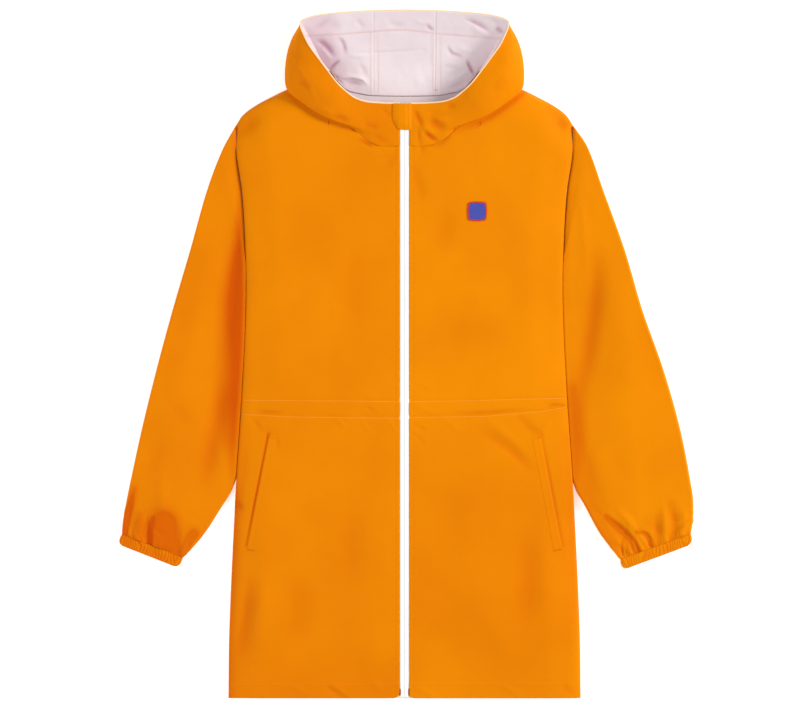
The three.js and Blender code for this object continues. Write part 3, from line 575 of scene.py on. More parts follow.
backEdge = topEdge(hood["neck"][hood["neckRow"]:][::-1], body["backColumns"])
x, y = bodyPlaces(backEdge, 0, body["backRows"], back["corner"])
x, y = np.concatenate([-x[:, :0:-1], x], 1), np.concatenate([y[:, :0:-1], y], 1)
backPiece = clothOf("backPanel", stacked(x, y, backFace(x, y)), body["cloth"], flip=True)
finished(backPiece, shellCloth, "shell", "back_panel", "waist_channel_back")
print("back made")

# Sleeves: flat tubes from the armhole to the elastic, low where they are tucked under the side of the body.
sleeve = {
    "clearance": 0.3, "underarm": 78, "tucked": 4.8, "beside": 9.4, "under": 0.9, "loft": 0.76,
    "middle": 3, "edgeRound": 3.5, "edgeShare": 0.9, "outerEase": 50, "innerEase": 40, "soleRound": 8,
    "cloth": 0.9, "rows": 148, "crowding": 1.3, "topColumns": 172, "soleColumns": 24,
    "seed": {"left": 41, "right": 47}, "bumps": [(0.6, 62), (0.3, 24)], "calmEdge": 9, "bumpEdge": 40,
    "gathers": [(1.1, 4.2, 8), (1.5, 8.5, 18), (1.2, 19, 40)],  # height, pitch, reach from the cuff
    "gathersTop": 120, "aslant": 0.7, "onSole": 0.6,
    "gatherNoise": 28, "soleNoise": 300, "stretch": 0.25, "atCuff": (0.35, 5), "shadow": (0.35, 10),
    # For each side: height beside the body, and where outside it the cloth rises to its loft; painted shade
    # over all its top; the painted shadow of the body, as its strip's y, depth and width; patches of painted
    # shade, as folds whose rise is their depth; edges and cuff, as outer x, y, inner x, y and loft.
    "right": {
        "flush": 10.1, "step": 1.5, "from": 24, "paintedDeepen": 0.16, "ease": 84,
        "paintedDarkening": [(-190, 0.1, 6), (-165, 0.4, 10), (-121, 0.75, 21), (-64, 0.95, 29), (7, 1, 31), (78, 1, 30),
                  (120, 0.9, 24), (163, 0.75, 15), (230, 0.7, 6), (290, 0.75, 4), (320, 0.6, 3)],
        "paintedDim": [
            fold(18, 0.6, (343, -240), (338, -262), (330, -296), start=1, end=1),
            fold(4.5, 1, (357, -232), (361, -249), (362, -276), start=0.6, end=0.7),
            fold(4.6, 0.7, (384, -190), (391, -220), (396, -240), (400, -266), start=0.3, end=1),
            fold(8, 0.4, (375, -228), (378, -250), (382, -276), start=0.4, end=1),
            fold(6.5, 0.5, (299, -254), (308, -266), (318, -292), start=1, end=1),
            fold(10, 0.4, (405, -262), (360, -276), (316, -294), start=1, end=1),
        ],
        "edges": [(259, 292, 212, 70, 13), (281, 234, 188, 46, 17), (305, 149, 177, 14, 20),
                  (330, 64, 184, -16, 22),
                  (353, -21, 200, -55, 22), (374, -106.5, 218, -116, 21), (392.5, -192, 245.5, -192, 19),
                  (396, -210, 257.5, -212, 18), (401, -237, 286, -256, 16), (402, -255, 315, -287.5, 13)],
        "cuff": (406, -269.5, 323.5, -302, 12.5),
        "folds": [
            fold(6.5, -2.6, (368, -226), (364, -245), (360, -268), lean=0.5, start=0.3, end=0.7),
            fold(7, -1.4, (358, -228), (344, -224), (330, -232), (326, -246), (330, -268), lean=0.7,
                 start=0.4, end=0.4),
            fold(6, -1.4, (396, -205), (393, -227), (395, -250), end=0.6),
            fold(6, -1.8, (298, -248), (309, -252), (322, -262), (330, -284), lean=0.5, end=0.5),
            fold(9, 2, (347, -163), (344, -206), (350, -246)),
            fold(6, 1.4, (378, -210), (376, -236), (378, -262), end=0.5),
            fold(4, 1.3, (312, -236), (318, -256), (330, -280), end=0.6),
            fold(11, -2.2, (235, 225), (239, 145), (246, 65), (252, -15), lean=0.3),
            fold(12, -2.4, (262, -16), (266, -92), (277, -149), (288, -206)),
            fold(10, -0.7, (339, -64), (319, -78), (296, -106)),
            fold(16, 0.8, (270, 200), (286, 110), (300, 10)),
            fold(15, -0.6, (300, 120), (318, 20), (340, -60)),
            fold(12, -0.8, (335, -110), (352, -150), (372, -186)),
        ]},
    "left": {
        "flush": 10.2, "step": 1.5, "from": 14, "paintedDeepen": 0, "ease": 80,
        "paintedDarkening": [(-180, 0.3, 6), (-120, 0.36, 22), (-70, 0.34, 24), (-20, 0.15, 22), (60, 0, 10),
                  (110, 0.3, 6), (200, 0.6, 7), (260, 0.6, 5), (320, 0.3, 4)],
        "paintedDim": [
            fold(5, 0.65, (286, -230), (303, -245), (322, -262), (336, -288), start=0.6, end=0.8),
            fold(2.2, 0.6, (330, -252), (341, -253), (349, -263), (356, -284), start=0.8, end=0.7),
            fold(5, 0.35, (297, -266), (312, -281), (326, -296), start=0.6, end=0.8),
            fold(13, 0.33, (240, -50), (243, -120), (250, -180), (268, -226), (290, -262), start=0.5,
                 end=0.6),
            fold(6, 0.2, (380, -212), (381, -234), start=0.8),
            fold(6, 0.22, (361, -230), (359, -276), start=0.7, end=1),
            fold(8, 0.15, (405, -262), (360, -278), (312, -298), start=1, end=1),
        ],
        "edges": [(260, 297, 212, 70, 13), (283, 234, 188, 46, 17), (313.5, 149, 177, 14, 20),
                  (338.5, 64, 183, -16, 22),
                  (368.5, -21, 198, -55, 22), (392.5, -106.5, 219, -116, 21), (409, -192, 243.5, -192, 19),
                  (411, -210, 255, -212, 18), (410.5, -234, 279, -256, 16), (407.5, -254, 307, -290.5, 13)],
        "cuff": (407.5, -269.5, 312, -305, 12.5),
        "folds": [
            fold(8, -3, (285, -229), (300, -240), (318, -256), (333, -280), lean=-0.6, start=0.3, end=0.7),
            fold(6, 1.8, (296, -214), (318, -236), (338, -256)),
            fold(5, -2.2, (331, -252), (345, -255), (351, -266), (352, -284), lean=-0.6, end=0.6),
            fold(5.5, -2.2, (356, -228), (359, -248), (357, -272), end=0.6),
            fold(6, -2.2, (377, -212), (383, -234), (383, -264), end=0.6),
            fold(5, 1.6, (366, -206), (370, -236), (370, -266), end=0.5),
            fold(5, -1.8, (295, -270), (309, -277), (322, -290), end=0.5),
            fold(5, 1.2, (394, -212), (398, -234), (397, -258), end=0.5),
            fold(12, -1.6, (277, 170), (272, 78), (260, -7), (246, -72), dark=0.8, end=0.4),
            fold(7, 0.8, (246, 263), (256, 163), (258, 78)),
            fold(16, -0.6, (334, 78), (351, -7), (366, -92)),
            fold(12, -0.9, (250, -110), (258, -150), (268, -190), (282, -216), dark=0.9, end=0.5),
            fold(12, -0.6, (286, -126), (306, -160), (330, -186)),
        ]},
}


def sleeveTop(side, x, y, loft):
    ways = sleeve[side]
    outside = x - bodyHalf(y)
    atArmhole = ease((y - body["tuckTop"] + body["tuckRamp"]) / body["tuckRamp"])
    clearOfBody = ease((body["tuckBottom"] + body["tuckRamp"] - y) / body["tuckRamp"])
    loft = loft * sleeve["loft"]
    low = mix(mix(sleeve["tucked"], np.minimum(loft, sleeve["beside"]), atArmhole), loft, clearOfBody)
    low = mix(low, np.clip(low, ways["flush"], loft), ease((outside + sleeve["under"]) / ways["step"]))
    return mix(low, loft, ease((outside - ways["from"]) / ways["ease"]))


# Ring of cloth across a flat tube: its top from the outer edge to the inner one, then its sole back.
def ringShares(part):
    top = 0.5 - 0.5 * np.cos(np.pi * np.linspace(0, 1, part["topColumns"]))
    sole = 0.5 - 0.5 * np.cos(np.pi * np.linspace(1, 0, part["soleColumns"] + 2))[1:-1]
    share = np.concatenate([top, sole])
    return share, np.arange(len(share)) < len(top)


def acrossLength(edges):
    return np.hypot(edges[:, 0] - edges[:, 2], edges[:, 1] - edges[:, 3])[:, None]


def tubeHeights(side, x, y, share, onTop, length, loft):
    near, far = share * length, (1 - share) * length
    gentle = np.minimum(ease(near / sleeve["outerEase"] + 0.1), ease(far / sleeve["innerEase"] + 0.1))
    top = mix(gentle, 1, sleeve["edgeShare"]) * rounded(np.minimum(near, far), sleeve["edgeRound"])
    sole = np.minimum(rounded(near, sleeve["soleRound"]), rounded(far, sleeve["soleRound"]))
    high, low = mix(sleeve["middle"], sleeveTop(side, x, y, loft), top), sleeve["middle"] * (1 - sole)
    return np.where(onTop, high, low)


def raisedRing(grid, raised):  # pushed out along its normals, but not below the floor
    grid = grid + normalsOf(grid, True) * raised[..., None]
    grid[..., 2] = np.maximum(grid[..., 2], 0)
    return grid


def sleeveGathers(around, toCuff, onTop, seed):
    gathers = np.zeros(around.shape)
    aslant = around + toCuff * sleeve["aslant"] * softNoise(around, toCuff, sleeve["gatherNoise"], seed + 9)
    for i, (height, pitch, reach) in enumerate(sleeve["gathers"]):
        noise = softNoise(aslant, toCuff * sleeve["stretch"], pitch, seed + 3 + i)
        wave = 2 * np.abs(noise) - 0.5  # sharp in its valleys
        gathers += height * wave * np.exp(-((toCuff / reach) ** 2))
    kept = np.where(onTop, 1, sleeve["onSole"]) * np.where(toCuff < sleeve["gathersTop"], 1, 0)
    least, fade = sleeve["atCuff"]
    return gathers * kept * mix(least, 1, ease(toCuff / fade))


def sleeveGrid(side):
    ways, seed, gap = sleeve[side], sleeve["seed"][side], sleeve["clearance"]
    share, onTop = ringShares(sleeve)
    tip, underarm = body["tipY"], sleeve["underarm"]
    armholeY = mix(tip, underarm, share)
    armhole = np.stack([bodyHalf(armholeY) + gap, armholeY], 1)
    start = (bodyHalf(tip) + gap, tip, bodyHalf(underarm) + gap, underarm, sleeve["beside"])
    edges = np.array([start] + ways["edges"], float)
    lines = mix(edges[1:, None, 0:2], edges[1:, None, 2:4], share[:, None])
    controls = np.concatenate([armhole[None], lines])
    knots = lengthsAlong(controls[:, sleeve["topColumns"] // 2])
    down = 1 - (1 - np.linspace(0, 1, sleeve["rows"])) ** sleeve["crowding"]  # rows lie closer near the cuff
    places = smoothAt(knots, controls, down * knots[-1])
    across = smoothAt(knots, edges, down * knots[-1])
    length = acrossLength(across)
    x, y = places[..., 0], places[..., 1]
    height = tubeHeights(side, x, y, share, onTop, length, across[:, 4:5])
    inside = np.minimum(share, 1 - share) * length
    calm = ease(inside / sleeve["calmEdge"]) * onTop
    height += calm * foldHeight(x, y, ways["folds"])
    height += calm * ease(inside / sleeve["bumpEdge"]) * bumps(x, y, sleeve["bumps"], seed)
    around = share * length + np.where(onTop, 0, sleeve["soleNoise"])
    gathers = sleeveGathers(around, (1 - down[:, None]) * knots[-1], onTop, seed)
    outside = x - bodyHalf(y)
    depth, wide = (atHeight([(row[0], row[k]) for row in ways["paintedDarkening"]], y) for k in (1, 2))
    paintedBodyShadow = depth * ease((1.6 * wide - outside) / (1.5 * wide))
    least, reach = sleeve["shadow"]  # painted shadow is weaker beside the body, where its real shadow falls
    paintedBodyShadow *= mix(least, 1, ease(outside / reach))
    # painted shade: troughs of folds, valleys of gathers, shaded patches, the body's shadow and the whole top
    hollow = hollows(x, y, ways["folds"]) + 0.5 * np.clip(-gathers, 0, 1)
    for patch in ways["paintedDim"]:
        covered = np.clip(2.2 * foldHeight(x, y, [dict(patch, rise=1)]), 0, 1)
        hollow = np.maximum(hollow, patch["rise"] * covered)
    grid = raisedRing(stacked(x, y, height), gathers)
    return grid, np.clip(hollow + paintedBodyShadow + ways["paintedDeepen"], 0, 1) * onTop


# Elastic casing: close narrow ridges round the end of each sleeve.
cuff = {
    "rows": 18, "topColumns": 300, "soleColumns": 60, "wall": 1.4, "bulge": 1.4, "cornerRound": 2.8,
    "cornerShare": 0.38, "ridge": 4.3, "height": 0.95, "puff": 0.5, "pinch": 0.1, "slant": 1.6, "wander": 1,
    "paintedDim": {"left": 0.15, "right": 0.5}, "seed": {"left": 61, "right": 67},
}


def cuffGrid(side):
    seed = cuff["seed"][side]
    share, onTop = ringShares(cuff)
    edges = np.array([sleeve[side]["edges"][-1], sleeve[side]["cuff"]], float)
    down = np.linspace(0, 1, cuff["rows"])[:, None]
    across = mix(edges[0], edges[1], down)
    length = acrossLength(across)
    corner = cuff["cornerRound"] * (1 - rounded(1 - down, cuff["cornerShare"]))
    wider = 0.5 + (share - 0.5) * (1 + 2 * (cuff["bulge"] * np.sin(np.pi * down) - corner) / length)
    x, y = mix(across[:, 0:1], across[:, 2:3], wider), mix(across[:, 1:2], across[:, 3:4], wider)
    grid = stacked(x, y, tubeHeights(side, x, y, share, onTop, length, across[:, 4:5]))
    around = share * length + np.where(onTop, 0, 200)
    turn = around / cuff["ridge"] + cuff["wander"] * softNoise(around, down * 9, 9, seed)
    turn += cuff["slant"] * (down - 0.5) * softNoise(around, 0, 26, seed + 1)
    ridges = np.abs(np.sin(np.pi * turn)) ** 0.8 * (0.75 + 0.25 * softNoise(around, down * 12, 6, seed + 2))
    full = np.sin(np.pi * np.clip(down, 0.03, 0.97)) ** 0.5
    raised = cuff["height"] * (ridges - 0.5) * (0.35 + 0.65 * full) + cuff["puff"] * (full - 1)
    raised += cuff["pinch"] * (ditch((down - 0.16) * 11, 1.1) + 0.5 * ditch((down - 0.86) * 11, 0.9))
    raised *= np.where(onTop, 1, 0.5)
    # painted shade: an even share over the band, more between its ridges
    return raisedRing(grid, raised), np.clip(cuff["paintedDim"][side] + 0.8 * (0.5 - ridges), 0, 0.8) * onTop


cuffGrids = {}
for side, sign in sides.items():
    (sleeveTube, sleevePaintedShade), (cuffGrids[side], cuffPaintedShade) = sleeveGrid(side), cuffGrid(side)
    name, ways = side.capitalize(), {"around": True, "sign": sign}
    sleevePiece = clothOf("sleeve" + name, sleeveTube, sleeve["cloth"], hollow=sleevePaintedShade, **ways)
    finished(sleevePiece, shellCloth, "shell", "sleeve_" + side)
    cuffPiece = clothOf("cuff" + name, cuffGrids[side], cuff["wall"], hollow=cuffPaintedShade, **ways)
    finished(cuffPiece, shellCloth, "shell", "cuff_" + side)
print("sleeves and cuffs made")

# Hood: each line of cloth runs from the rim out over a fold, under it, and back to the neck seam.
hood.update({
    "cloth": 0.9, "thinAt": 5, "thin": 0.06, "paintedDeepen": {"left": 0.06, "right": 0.2}, "seamRow": 15,
    "sideRows": 150, "centreRows": 51, "columns": 60, "samples": 321, "overSeam": 0.8, "aboveFront": 0.02,
    "middleY": 470, "crest": 0.09, "crestFrom": (25, 10), "foot": 16, "neckFrom": 1.5, "thinShare": (0.6, 0.3),
    "bumps": [(0.7, 34), (0.3, 14)], "bumpSeed": 71, "calmRim": 0.08, "calmZip": (7, 10), "upFrom": (0.15, 0.5),
    "left": [
        fold(3.5, -1.8, (12, 352), (20, 335), (28, 319), dark=0.8),
        fold(6, -1.8, (32, 339), (46, 327), (62, 318), dark=0.7),
        fold(3, -2, (26, 319), (38, 309), (50, 302), dark=1),
        fold(3, 1.2, (48, 299), (58, 310), (72, 319)),
        fold(4, 1.5, (20, 330), (33, 320), (45, 312)),
        fold(1.8, -1.2, (19.5, 322), (20.5, 309), (23, 299), start=0.5, end=0.6, dark=0.9),
        fold(4, -1, (58, 353), (66, 352), (74, 353), dark=0.6),
        fold(5, 1.3, (36, 339), (53, 334), (67, 328)),
        fold(5, -0.9, (28, 345), (44, 342), (60, 336)),
        fold(3, 0.7, (125, 372), (140, 392), (156, 410)),
        fold(9, 0.7, (128, 410), (146, 424), (152, 446)),
        fold(8, -0.7, (118, 372), (134, 382), (146, 396)),
    ],
    "right": [
        fold(2.6, 0.8, (156, 417), (140, 390), (120, 353), start=0.3),
        fold(5, -1.2, (154, 389), (142, 383), (130, 377)),
        fold(5, 1, (128, 352), (112, 346), (96, 338)),
        fold(4, -1.2, (106, 338), (92, 336), (76, 330)),
        fold(3, -0.8, (34, 350), (26, 344), (17, 338)),
        fold(4, -0.9, (60, 330), (46, 325), (34, 322), dark=0.7),
        fold(4, -0.8, (46, 314), (34, 306), (24, 300), end=0.4),
        fold(9, -0.7, (128, 410), (148, 420), (156, 440)),
    ],
})
hoodKnots = np.arange(len(hood["rim"]))  # numbers of the rows in its tables
rimTable, foldTable, neckTable = (np.array(hood[part], float) for part in ("rim", "fold", "neck"))


def evenRows(first, last, count):  # row numbers that lie evenly along the hood
    rows = np.linspace(0, hoodKnots[-1], hood["samples"])
    run = lengthsAlong(smoothAt(hoodKnots, (rimTable[:, :2] + foldTable[:, :2]) / 2, rows))
    return np.interp(np.linspace(*np.interp([first, last], rows, run), count), run, rows)


def neckPlaces(rows, step):  # stepped in from the neck seam
    neck = smoothAt(hoodKnots, neckTable, rows)
    inward = np.stack([-neck[:, 0], hood["middleY"] - neck[:, 1], 0 * rows], 1)
    return neck + step * inward / np.linalg.norm(inward, axis=1, keepdims=True)


def hoodThickness(rows):  # the seam lies flat on the fronts near the zip, so the cloth thins towards it there
    start, width = hood["thinShare"]
    nearSeam = ease((np.linspace(0, 1, hood["columns"]) - start) / width)
    nearZip = ease((hood["thinAt"] - rows[:, None]) / 1.5)
    return mix(hood["cloth"], hood["thin"], nearSeam * nearZip)[..., None]


def hoodLine(rimAt, foldAt, neckAt):
    foldPlace, footZ = foldAt[:3], foldAt[3]
    crest = mix(rimAt, foldPlace, 0.5)
    start, width = hood["crestFrom"]
    crest[2] += hood["crest"] * np.hypot(*(rimAt - foldPlace)[:2]) * ease((rimAt[2] - start) / width)
    foot = mix(foldPlace, neckAt, min(0.5, hood["foot"] / np.hypot(*(neckAt - foldPlace)[:2])))
    foot[2] = footZ
    line = alongLine([rimAt, crest, foldPlace, foot, mix(foot, neckAt, 0.5), neckAt], hood["columns"])
    line[:, 2] = np.maximum(line[:, 2], min(footZ, neckAt[2]))
    return line


def hoodGrid(rows, folds):
    rim, fold = (smoothAt(hoodKnots, table, rows) for table in (rimTable, foldTable))
    neck = neckPlaces(rows, -hood["overSeam"])
    onFront = frontUnder(neck[:, 0], neck[:, 1]) + body["wall"]
    onFront += hoodThickness(rows)[:, -1, 0] + hood["aboveFront"]
    neck[:, 2] = mix(onFront, neck[:, 2], ease((rows - hood["neckRow"]) / hood["neckFrom"] + 1))
    grid = np.array([hoodLine(*places) for places in zip(rim, fold, neck)])
    normal = normalsOf(grid)
    (upStart, upWidth), (zipStart, zipWidth) = hood["upFrom"], hood["calmZip"]
    up = ease((normal[..., 2:] - upStart) / upWidth)
    x, y = grid[..., 0], grid[..., 1]
    near = ease(np.linspace(0, 1, hood["columns"]) / hood["calmRim"])[None, :]
    raised = foldHeight(x, y, folds) + bumps(x, y, hood["bumps"], hood["bumpSeed"])
    raised *= near * ease((np.abs(x) - zipStart) / zipWidth)
    # its painted shade lies in the troughs of its folds, on faces that look up
    return grid + normal * up * raised[..., None], normal, hollows(x, y, folds) * up[..., 0]


# Lining: hangs from just inside the rim to the neck seam in a hollow curve. Its folds are placed in true X.
facingFold = fold(1.4, -0.7, (-139, 452), (-86, 455), (-43, 458.5), (0, 460.5), (50, 455), (90, 452),
                  (136, 448), start=0.8, end=0.8, dark=0.5)
lining = {
    "cloth": 0.8, "paintedDeepen": 0.34, "offRim": 1.0, "offSeam": 0.2, "columns": 88, "entryRow": 1, "curve": 1.8,
    "clear": 3, "clearEase": (0.12, 0.3), "edgeEase": 0.1, "paintedShadeFrom": (88, 20), "opensAt": 7.5, "opening": 2,
    "bumps": [(0.4, 24), (0.2, 9)], "bumpSeed": 81, "seamPoints": 50, "facingPoints": 160, "belowFacing": 2,
    "neckHeights": [14.6, 14.6, 14.6, 14.6, 15.2, 15.2, 15.2, 15.2, 17.8, 13.4, 5.6, 3.2, 3, 3, 3, 3, 3],
    "seams": [-47.5, -36.5, 40.5, 52], "seamBottom": 371,
    "folds": [
        fold(4, -2.6, (-127, 451), (-112, 437), (-99, 421), lean=0.4, dark=1),
        fold(5, 1.5, (-122, 440), (-110, 426), (-104, 414)),
        fold(3, -1.8, (-99, 453), (-88, 446), (-84, 432), (-86, 423), lean=-0.4, dark=1),
        fold(2, -1.8, (-108, 404), (-100, 413), (-90, 421), dark=1.5),
        fold(2, -1.5, (-98, 401), (-95, 390), (-86, 384), dark=1.2),
        fold(3, 2, (-94, 400), (-87, 394), (-75, 395), (-59, 391), (-50, 379), lean=0.4),
        fold(4, -1.4, (-89, 389), (-75, 387), (-56, 384), dark=0.9),
        fold(8, -1.2, (-106, 474), (-97, 466), (-88, 462)),
        fold(4, -1, (-132, 462), (-118, 468), (-104, 480), dark=0.8),
        fold(4, -1.2, (-70, 478), (-62, 468), (-56, 462)),
        fold(1.8, -0.9, (-68, 430), (-36, 430), (-5, 432), (28, 434), start=0.4, end=0.3),
        fold(3, 0.9, (-84, 424), (-70, 425), (-50, 426)),
        fold(4, -0.9, (-66, 416), (-58, 404), (-56, 392)),
        fold(2.4, -1.7, (30, 471), (36, 463), (44, 460), dark=1.1),
        fold(3, -2, (80, 478), (95, 472), (109, 465), (125, 455), lean=0.4, dark=0.9),
        fold(4, 1.4, (92, 464), (108, 458), (124, 450)),
        fold(3, -1.8, (128, 466), (136, 460), (143, 455), dark=1.2),
        fold(3, -1.3, (112, 478), (126, 474), (138, 464)),
        fold(2.6, -1.8, (59, 443), (67, 430), (77, 426), (88, 421), lean=-0.4, dark=0.9),
        fold(2.6, -2.4, (87, 422), (93, 409), (101, 396), lean=0.4, dark=1.4),
        fold(5, 1.5, (72, 438), (88, 432), (104, 428)),
        fold(3, -1.1, (50, 407), (63, 410), (84, 406)),
        fold(4, 1.7, (58, 388), (77, 396), (95, 408), lean=-0.4),
        fold(3, -1.2, (58, 380), (76, 384), (92, 392)),
        facingFold,
        fold(5, 0.7, (10, 404), (20, 390), (16, 376)),
        fold(4, -1, (-26, 474), (-14, 468), (4, 470)),
        fold(4, 0.9, (10, 478), (26, 470), (44, 474)),
    ],
}


def liningGrid(rows, rimPlaces, rimNormals):
    start = rimPlaces - rimNormals * lining["offRim"]
    end = neckPlaces(rows, lining["offSeam"])
    end[:, 2] = np.interp(rows, hoodKnots, lining["neckHeights"])
    t = np.linspace(0, 1, lining["columns"])[None, :, None]
    grid = mix(start[:, None], end[:, None], t)
    grid[..., 2] = mix(end[:, 2:], start[:, 2:], (1 - t[..., 0]) ** lining["curve"])
    return grid, grid - normalsOf(grid) * lining["cloth"]


def liningFolds(grid, rows, sign):
    x, y = grid[..., 0] * sign, grid[..., 1]
    t = np.linspace(0, 1, grid.shape[1])[None, :]
    raised = foldHeight(x, y, lining["folds"]) + bumps(x, y, lining["bumps"], lining["bumpSeed"])
    shown = ease((rows[:, None] - lining["opensAt"]) / lining["opening"])  # only where the hood stands open
    (clearRim, clearNeck), edge, (start, width) = lining["clearEase"], lining["edgeEase"], lining["paintedShadeFrom"]
    clear = -lining["clear"] * (1 - shown) * ease(t / clearRim) * ease((1 - t) / clearNeck)
    shown = shown * ease(t / edge) * ease((1 - t) / edge)
    # painted shade in the troughs of its folds, and along the rim on the wearer's right, where the key light falls
    hollow = hollows(x, y, lining["folds"]) * shown + lining["paintedDeepen"] * ease((-x - start) / width)
    return raised * shown + clear, hollow


liningFaces = []


def liningPiece(name, node, grids, rows, sign=1):
    under, over = grids
    raised, hollow = liningFolds(under, rows, sign)
    over[..., 2] += raised
    under[..., 2] += raised
    liningFaces.extend(turned(face, sign).reshape(-1, 3) for face in (over, under))
    return finished(clothWall(name, over, under, hollow=hollow, sign=sign), paleLining, "lining", node)


def halfAndHalf(grid):  # a half that ends on the middle line, and its mirror image
    return np.concatenate([grid, turned(grid[:-1], -1)[::-1]])


hoodRows = evenRows(0, hood["seamRow"], hood["sideRows"])
lined = hoodRows >= lining["entryRow"]
hoodGrids = {}
for side, sign in sides.items():
    hoodGrids[side], hoodNormals, hollow = hoodGrid(hoodRows, hood[side])
    # painted shade over all of each side, deeper on the wearer's right, away from the key light
    hollow += hood["paintedDeepen"][side] * ease((hood["seamRow"] - hoodRows) / 5)[:, None]
    name, thick = side.capitalize(), hoodThickness(hoodRows)
    hoodPiece = clothOf("hoodSide" + name, hoodGrids[side], thick, hollow=hollow, sign=sign)
    finished(hoodPiece, shellCloth, "shell", "hood_side_" + side)
    grids = liningGrid(hoodRows[lined], hoodGrids[side][lined, 0], hoodNormals[lined, 0])
    linedPiece = liningPiece("hoodLining" + name, "hood_lining_" + side, grids, hoodRows[lined], sign)
centreRows = evenRows(hood["seamRow"], hoodKnots[-1], hood["centreRows"] // 2 + 1)
centreGrid, centreNormals, hollow = hoodGrid(centreRows, [])
centrePiece = clothOf("hoodCentre", halfAndHalf(centreGrid), hood["cloth"])
finished(centrePiece, shellCloth, "shell", "hood_centre", "hood_fold")
grids = [halfAndHalf(grid) for grid in liningGrid(centreRows, centreGrid[:, 0], centreNormals[:, 0])]
rows = np.full(len(grids[0]), hoodKnots[-1])
linedPiece = liningPiece("hoodLiningCentre", "hood_lining_centre", grids, rows)

# Lining of the back's neck, seen through the hood's opening.
backNeck = {
    "half": 92, "depth": 46, "round": 0.8, "step": 0.1, "over": 0.5, "cloth": 0.8, "columns": 90, "rows": 24,
    "bump": (0.3, 12), "bumpSeed": 91,
}
edge = topEdge(hood["neck"][hood["neckRow"]:][::-1], [(0, 4), (1, 0)])
across = np.linspace(-1, 1, backNeck["columns"])
x = np.tile(across * backNeck["half"], (backNeck["rows"], 1))
top = np.interp(np.abs(x), edge[:, 0], edge[:, 1]) - backNeck["step"]
depth = backNeck["depth"] * np.sqrt(1 - backNeck["round"] * across ** 2)
y = top - depth * np.linspace(0, 1, backNeck["rows"])[:, None]
height, size = backNeck["bump"]
bump = height * np.maximum(softNoise(x, y, size, backNeck["bumpSeed"]), 0)
under = stacked(x, y, backUnder(np.abs(x), y) + body["wall"] + backNeck["over"] + bump)
neckLining = clothWall("backNeckLining", under + np.array([0, 0, backNeck["cloth"]]), under)
finished(neckLining, paleLining, "lining", "back_neck_lining")

# Turned edge of pale cloth along the rim, coloured as a painted highlight along it.
rim = {"radius": 1.1, "bore": 0.3, "inside": 0.5, "columns": 8}


def tubeAlong(name, path, tube):
    along = np.gradient(path, axis=0)
    along /= np.linalg.norm(along, axis=1, keepdims=True)
    side = np.cross(along, (0, 0, 1))
    side /= np.linalg.norm(side, axis=1, keepdims=True)
    up = np.cross(side, along)
    turn = np.linspace(0, 2 * np.pi, tube["columns"], endpoint=False)[None, :, None]
    ring = tube["radius"] * (np.cos(turn) * side[:, None] + np.sin(turn) * up[:, None])
    return clothWall(name, path[:, None] + ring, path[:, None] + tube["bore"] * ring, around=True)


sideRim = (hoodGrids["left"] - rim["inside"] * hoodNormals)[:-1, 0]
rimHalf = np.concatenate([sideRim, (centreGrid - rim["inside"] * centreNormals)[:, 0]])
finished(tubeAlong("hoodRimTurnHighlight", halfAndHalf(rimHalf), rim), rimTurnHighlight, "lining")
print("hood made")

# Rows of small thread loops (or coil turns) grown along lines.
threadInputs = {
    "Geometry": "Geometry", "Pitch": "Float", "Length": "Float", "Thickness": "Float", "Turn": "Float",
    "Uneven": "Float", "Thread": "Material"}
threadLoop = {"Segments": 6, "Rings": 4, "Radius": 0.5}
quarterTurn = 1.5708


def threadTree():
    tree = bpy.data.node_groups.new("threadRows", "GeometryNodeTree")
    for name, kind in threadInputs.items():
        tree.interface.new_socket(name, in_out="INPUT", socket_type="NodeSocket" + kind)
    tree.interface.new_socket("Geometry", in_out="OUTPUT", socket_type="NodeSocketGeometry")
    given = addNode(tree, "NodeGroupInput").outputs

    def node(kind, output, inputs, **settings):
        return addNode(tree, kind, inputs, **settings).outputs[output]

    line = node("GeometryNodeMeshToCurve", "Curve", {"Mesh": given["Geometry"]})
    spaced = {"Curve": line, "Length": given["Pitch"]}
    points = addNode(tree, "GeometryNodeCurveToPoints", spaced, mode="LENGTH").outputs
    along = node("FunctionNodeAlignRotationToVector", "Rotation", {"Vector": points["Tangent"]}, axis="X")
    aside = node("FunctionNodeAxisAngleToRotation", "Rotation", {"Axis": (0, 0, 1), "Angle": given["Turn"]})
    laid = node("FunctionNodeRotateRotation", "Rotation", {"Rotation": along, "Rotate By": aside},
                rotation_space="LOCAL")
    least = node("ShaderNodeMath", 0, {0: 1.0, 1: given["Uneven"]}, operation="SUBTRACT")
    varied = node("FunctionNodeRandomValue", "Value", {"Min": least, "Max": 1.0, "Seed": 5},
                  data_type="FLOAT")
    long = node("ShaderNodeMath", 0, {0: given["Length"], 1: varied}, operation="MULTIPLY")
    thick = given["Thickness"]
    size = node("ShaderNodeCombineXYZ", "Vector", {"X": long, "Y": thick, "Z": thick})
    loop = node("GeometryNodeMeshUVSphere", "Mesh", threadLoop)
    sewn = node("GeometryNodeInstanceOnPoints", "Instances", {
        "Points": points["Points"], "Instance": loop, "Rotation": laid, "Scale": size})
    solid = node("GeometryNodeRealizeInstances", "Geometry", {"Geometry": sewn})
    smooth = node("GeometryNodeSetShadeSmooth", "Geometry", {"Geometry": solid})
    painted = node("GeometryNodeSetMaterial", "Geometry", {"Geometry": smooth, "Material": given["Thread"]})
    addNode(tree, "NodeGroupOutput", {"Geometry": painted})
    return tree


threads = threadTree()
sockets = {item.name: item.identifier for item in threads.interface.items_tree if item.in_out == "INPUT"}


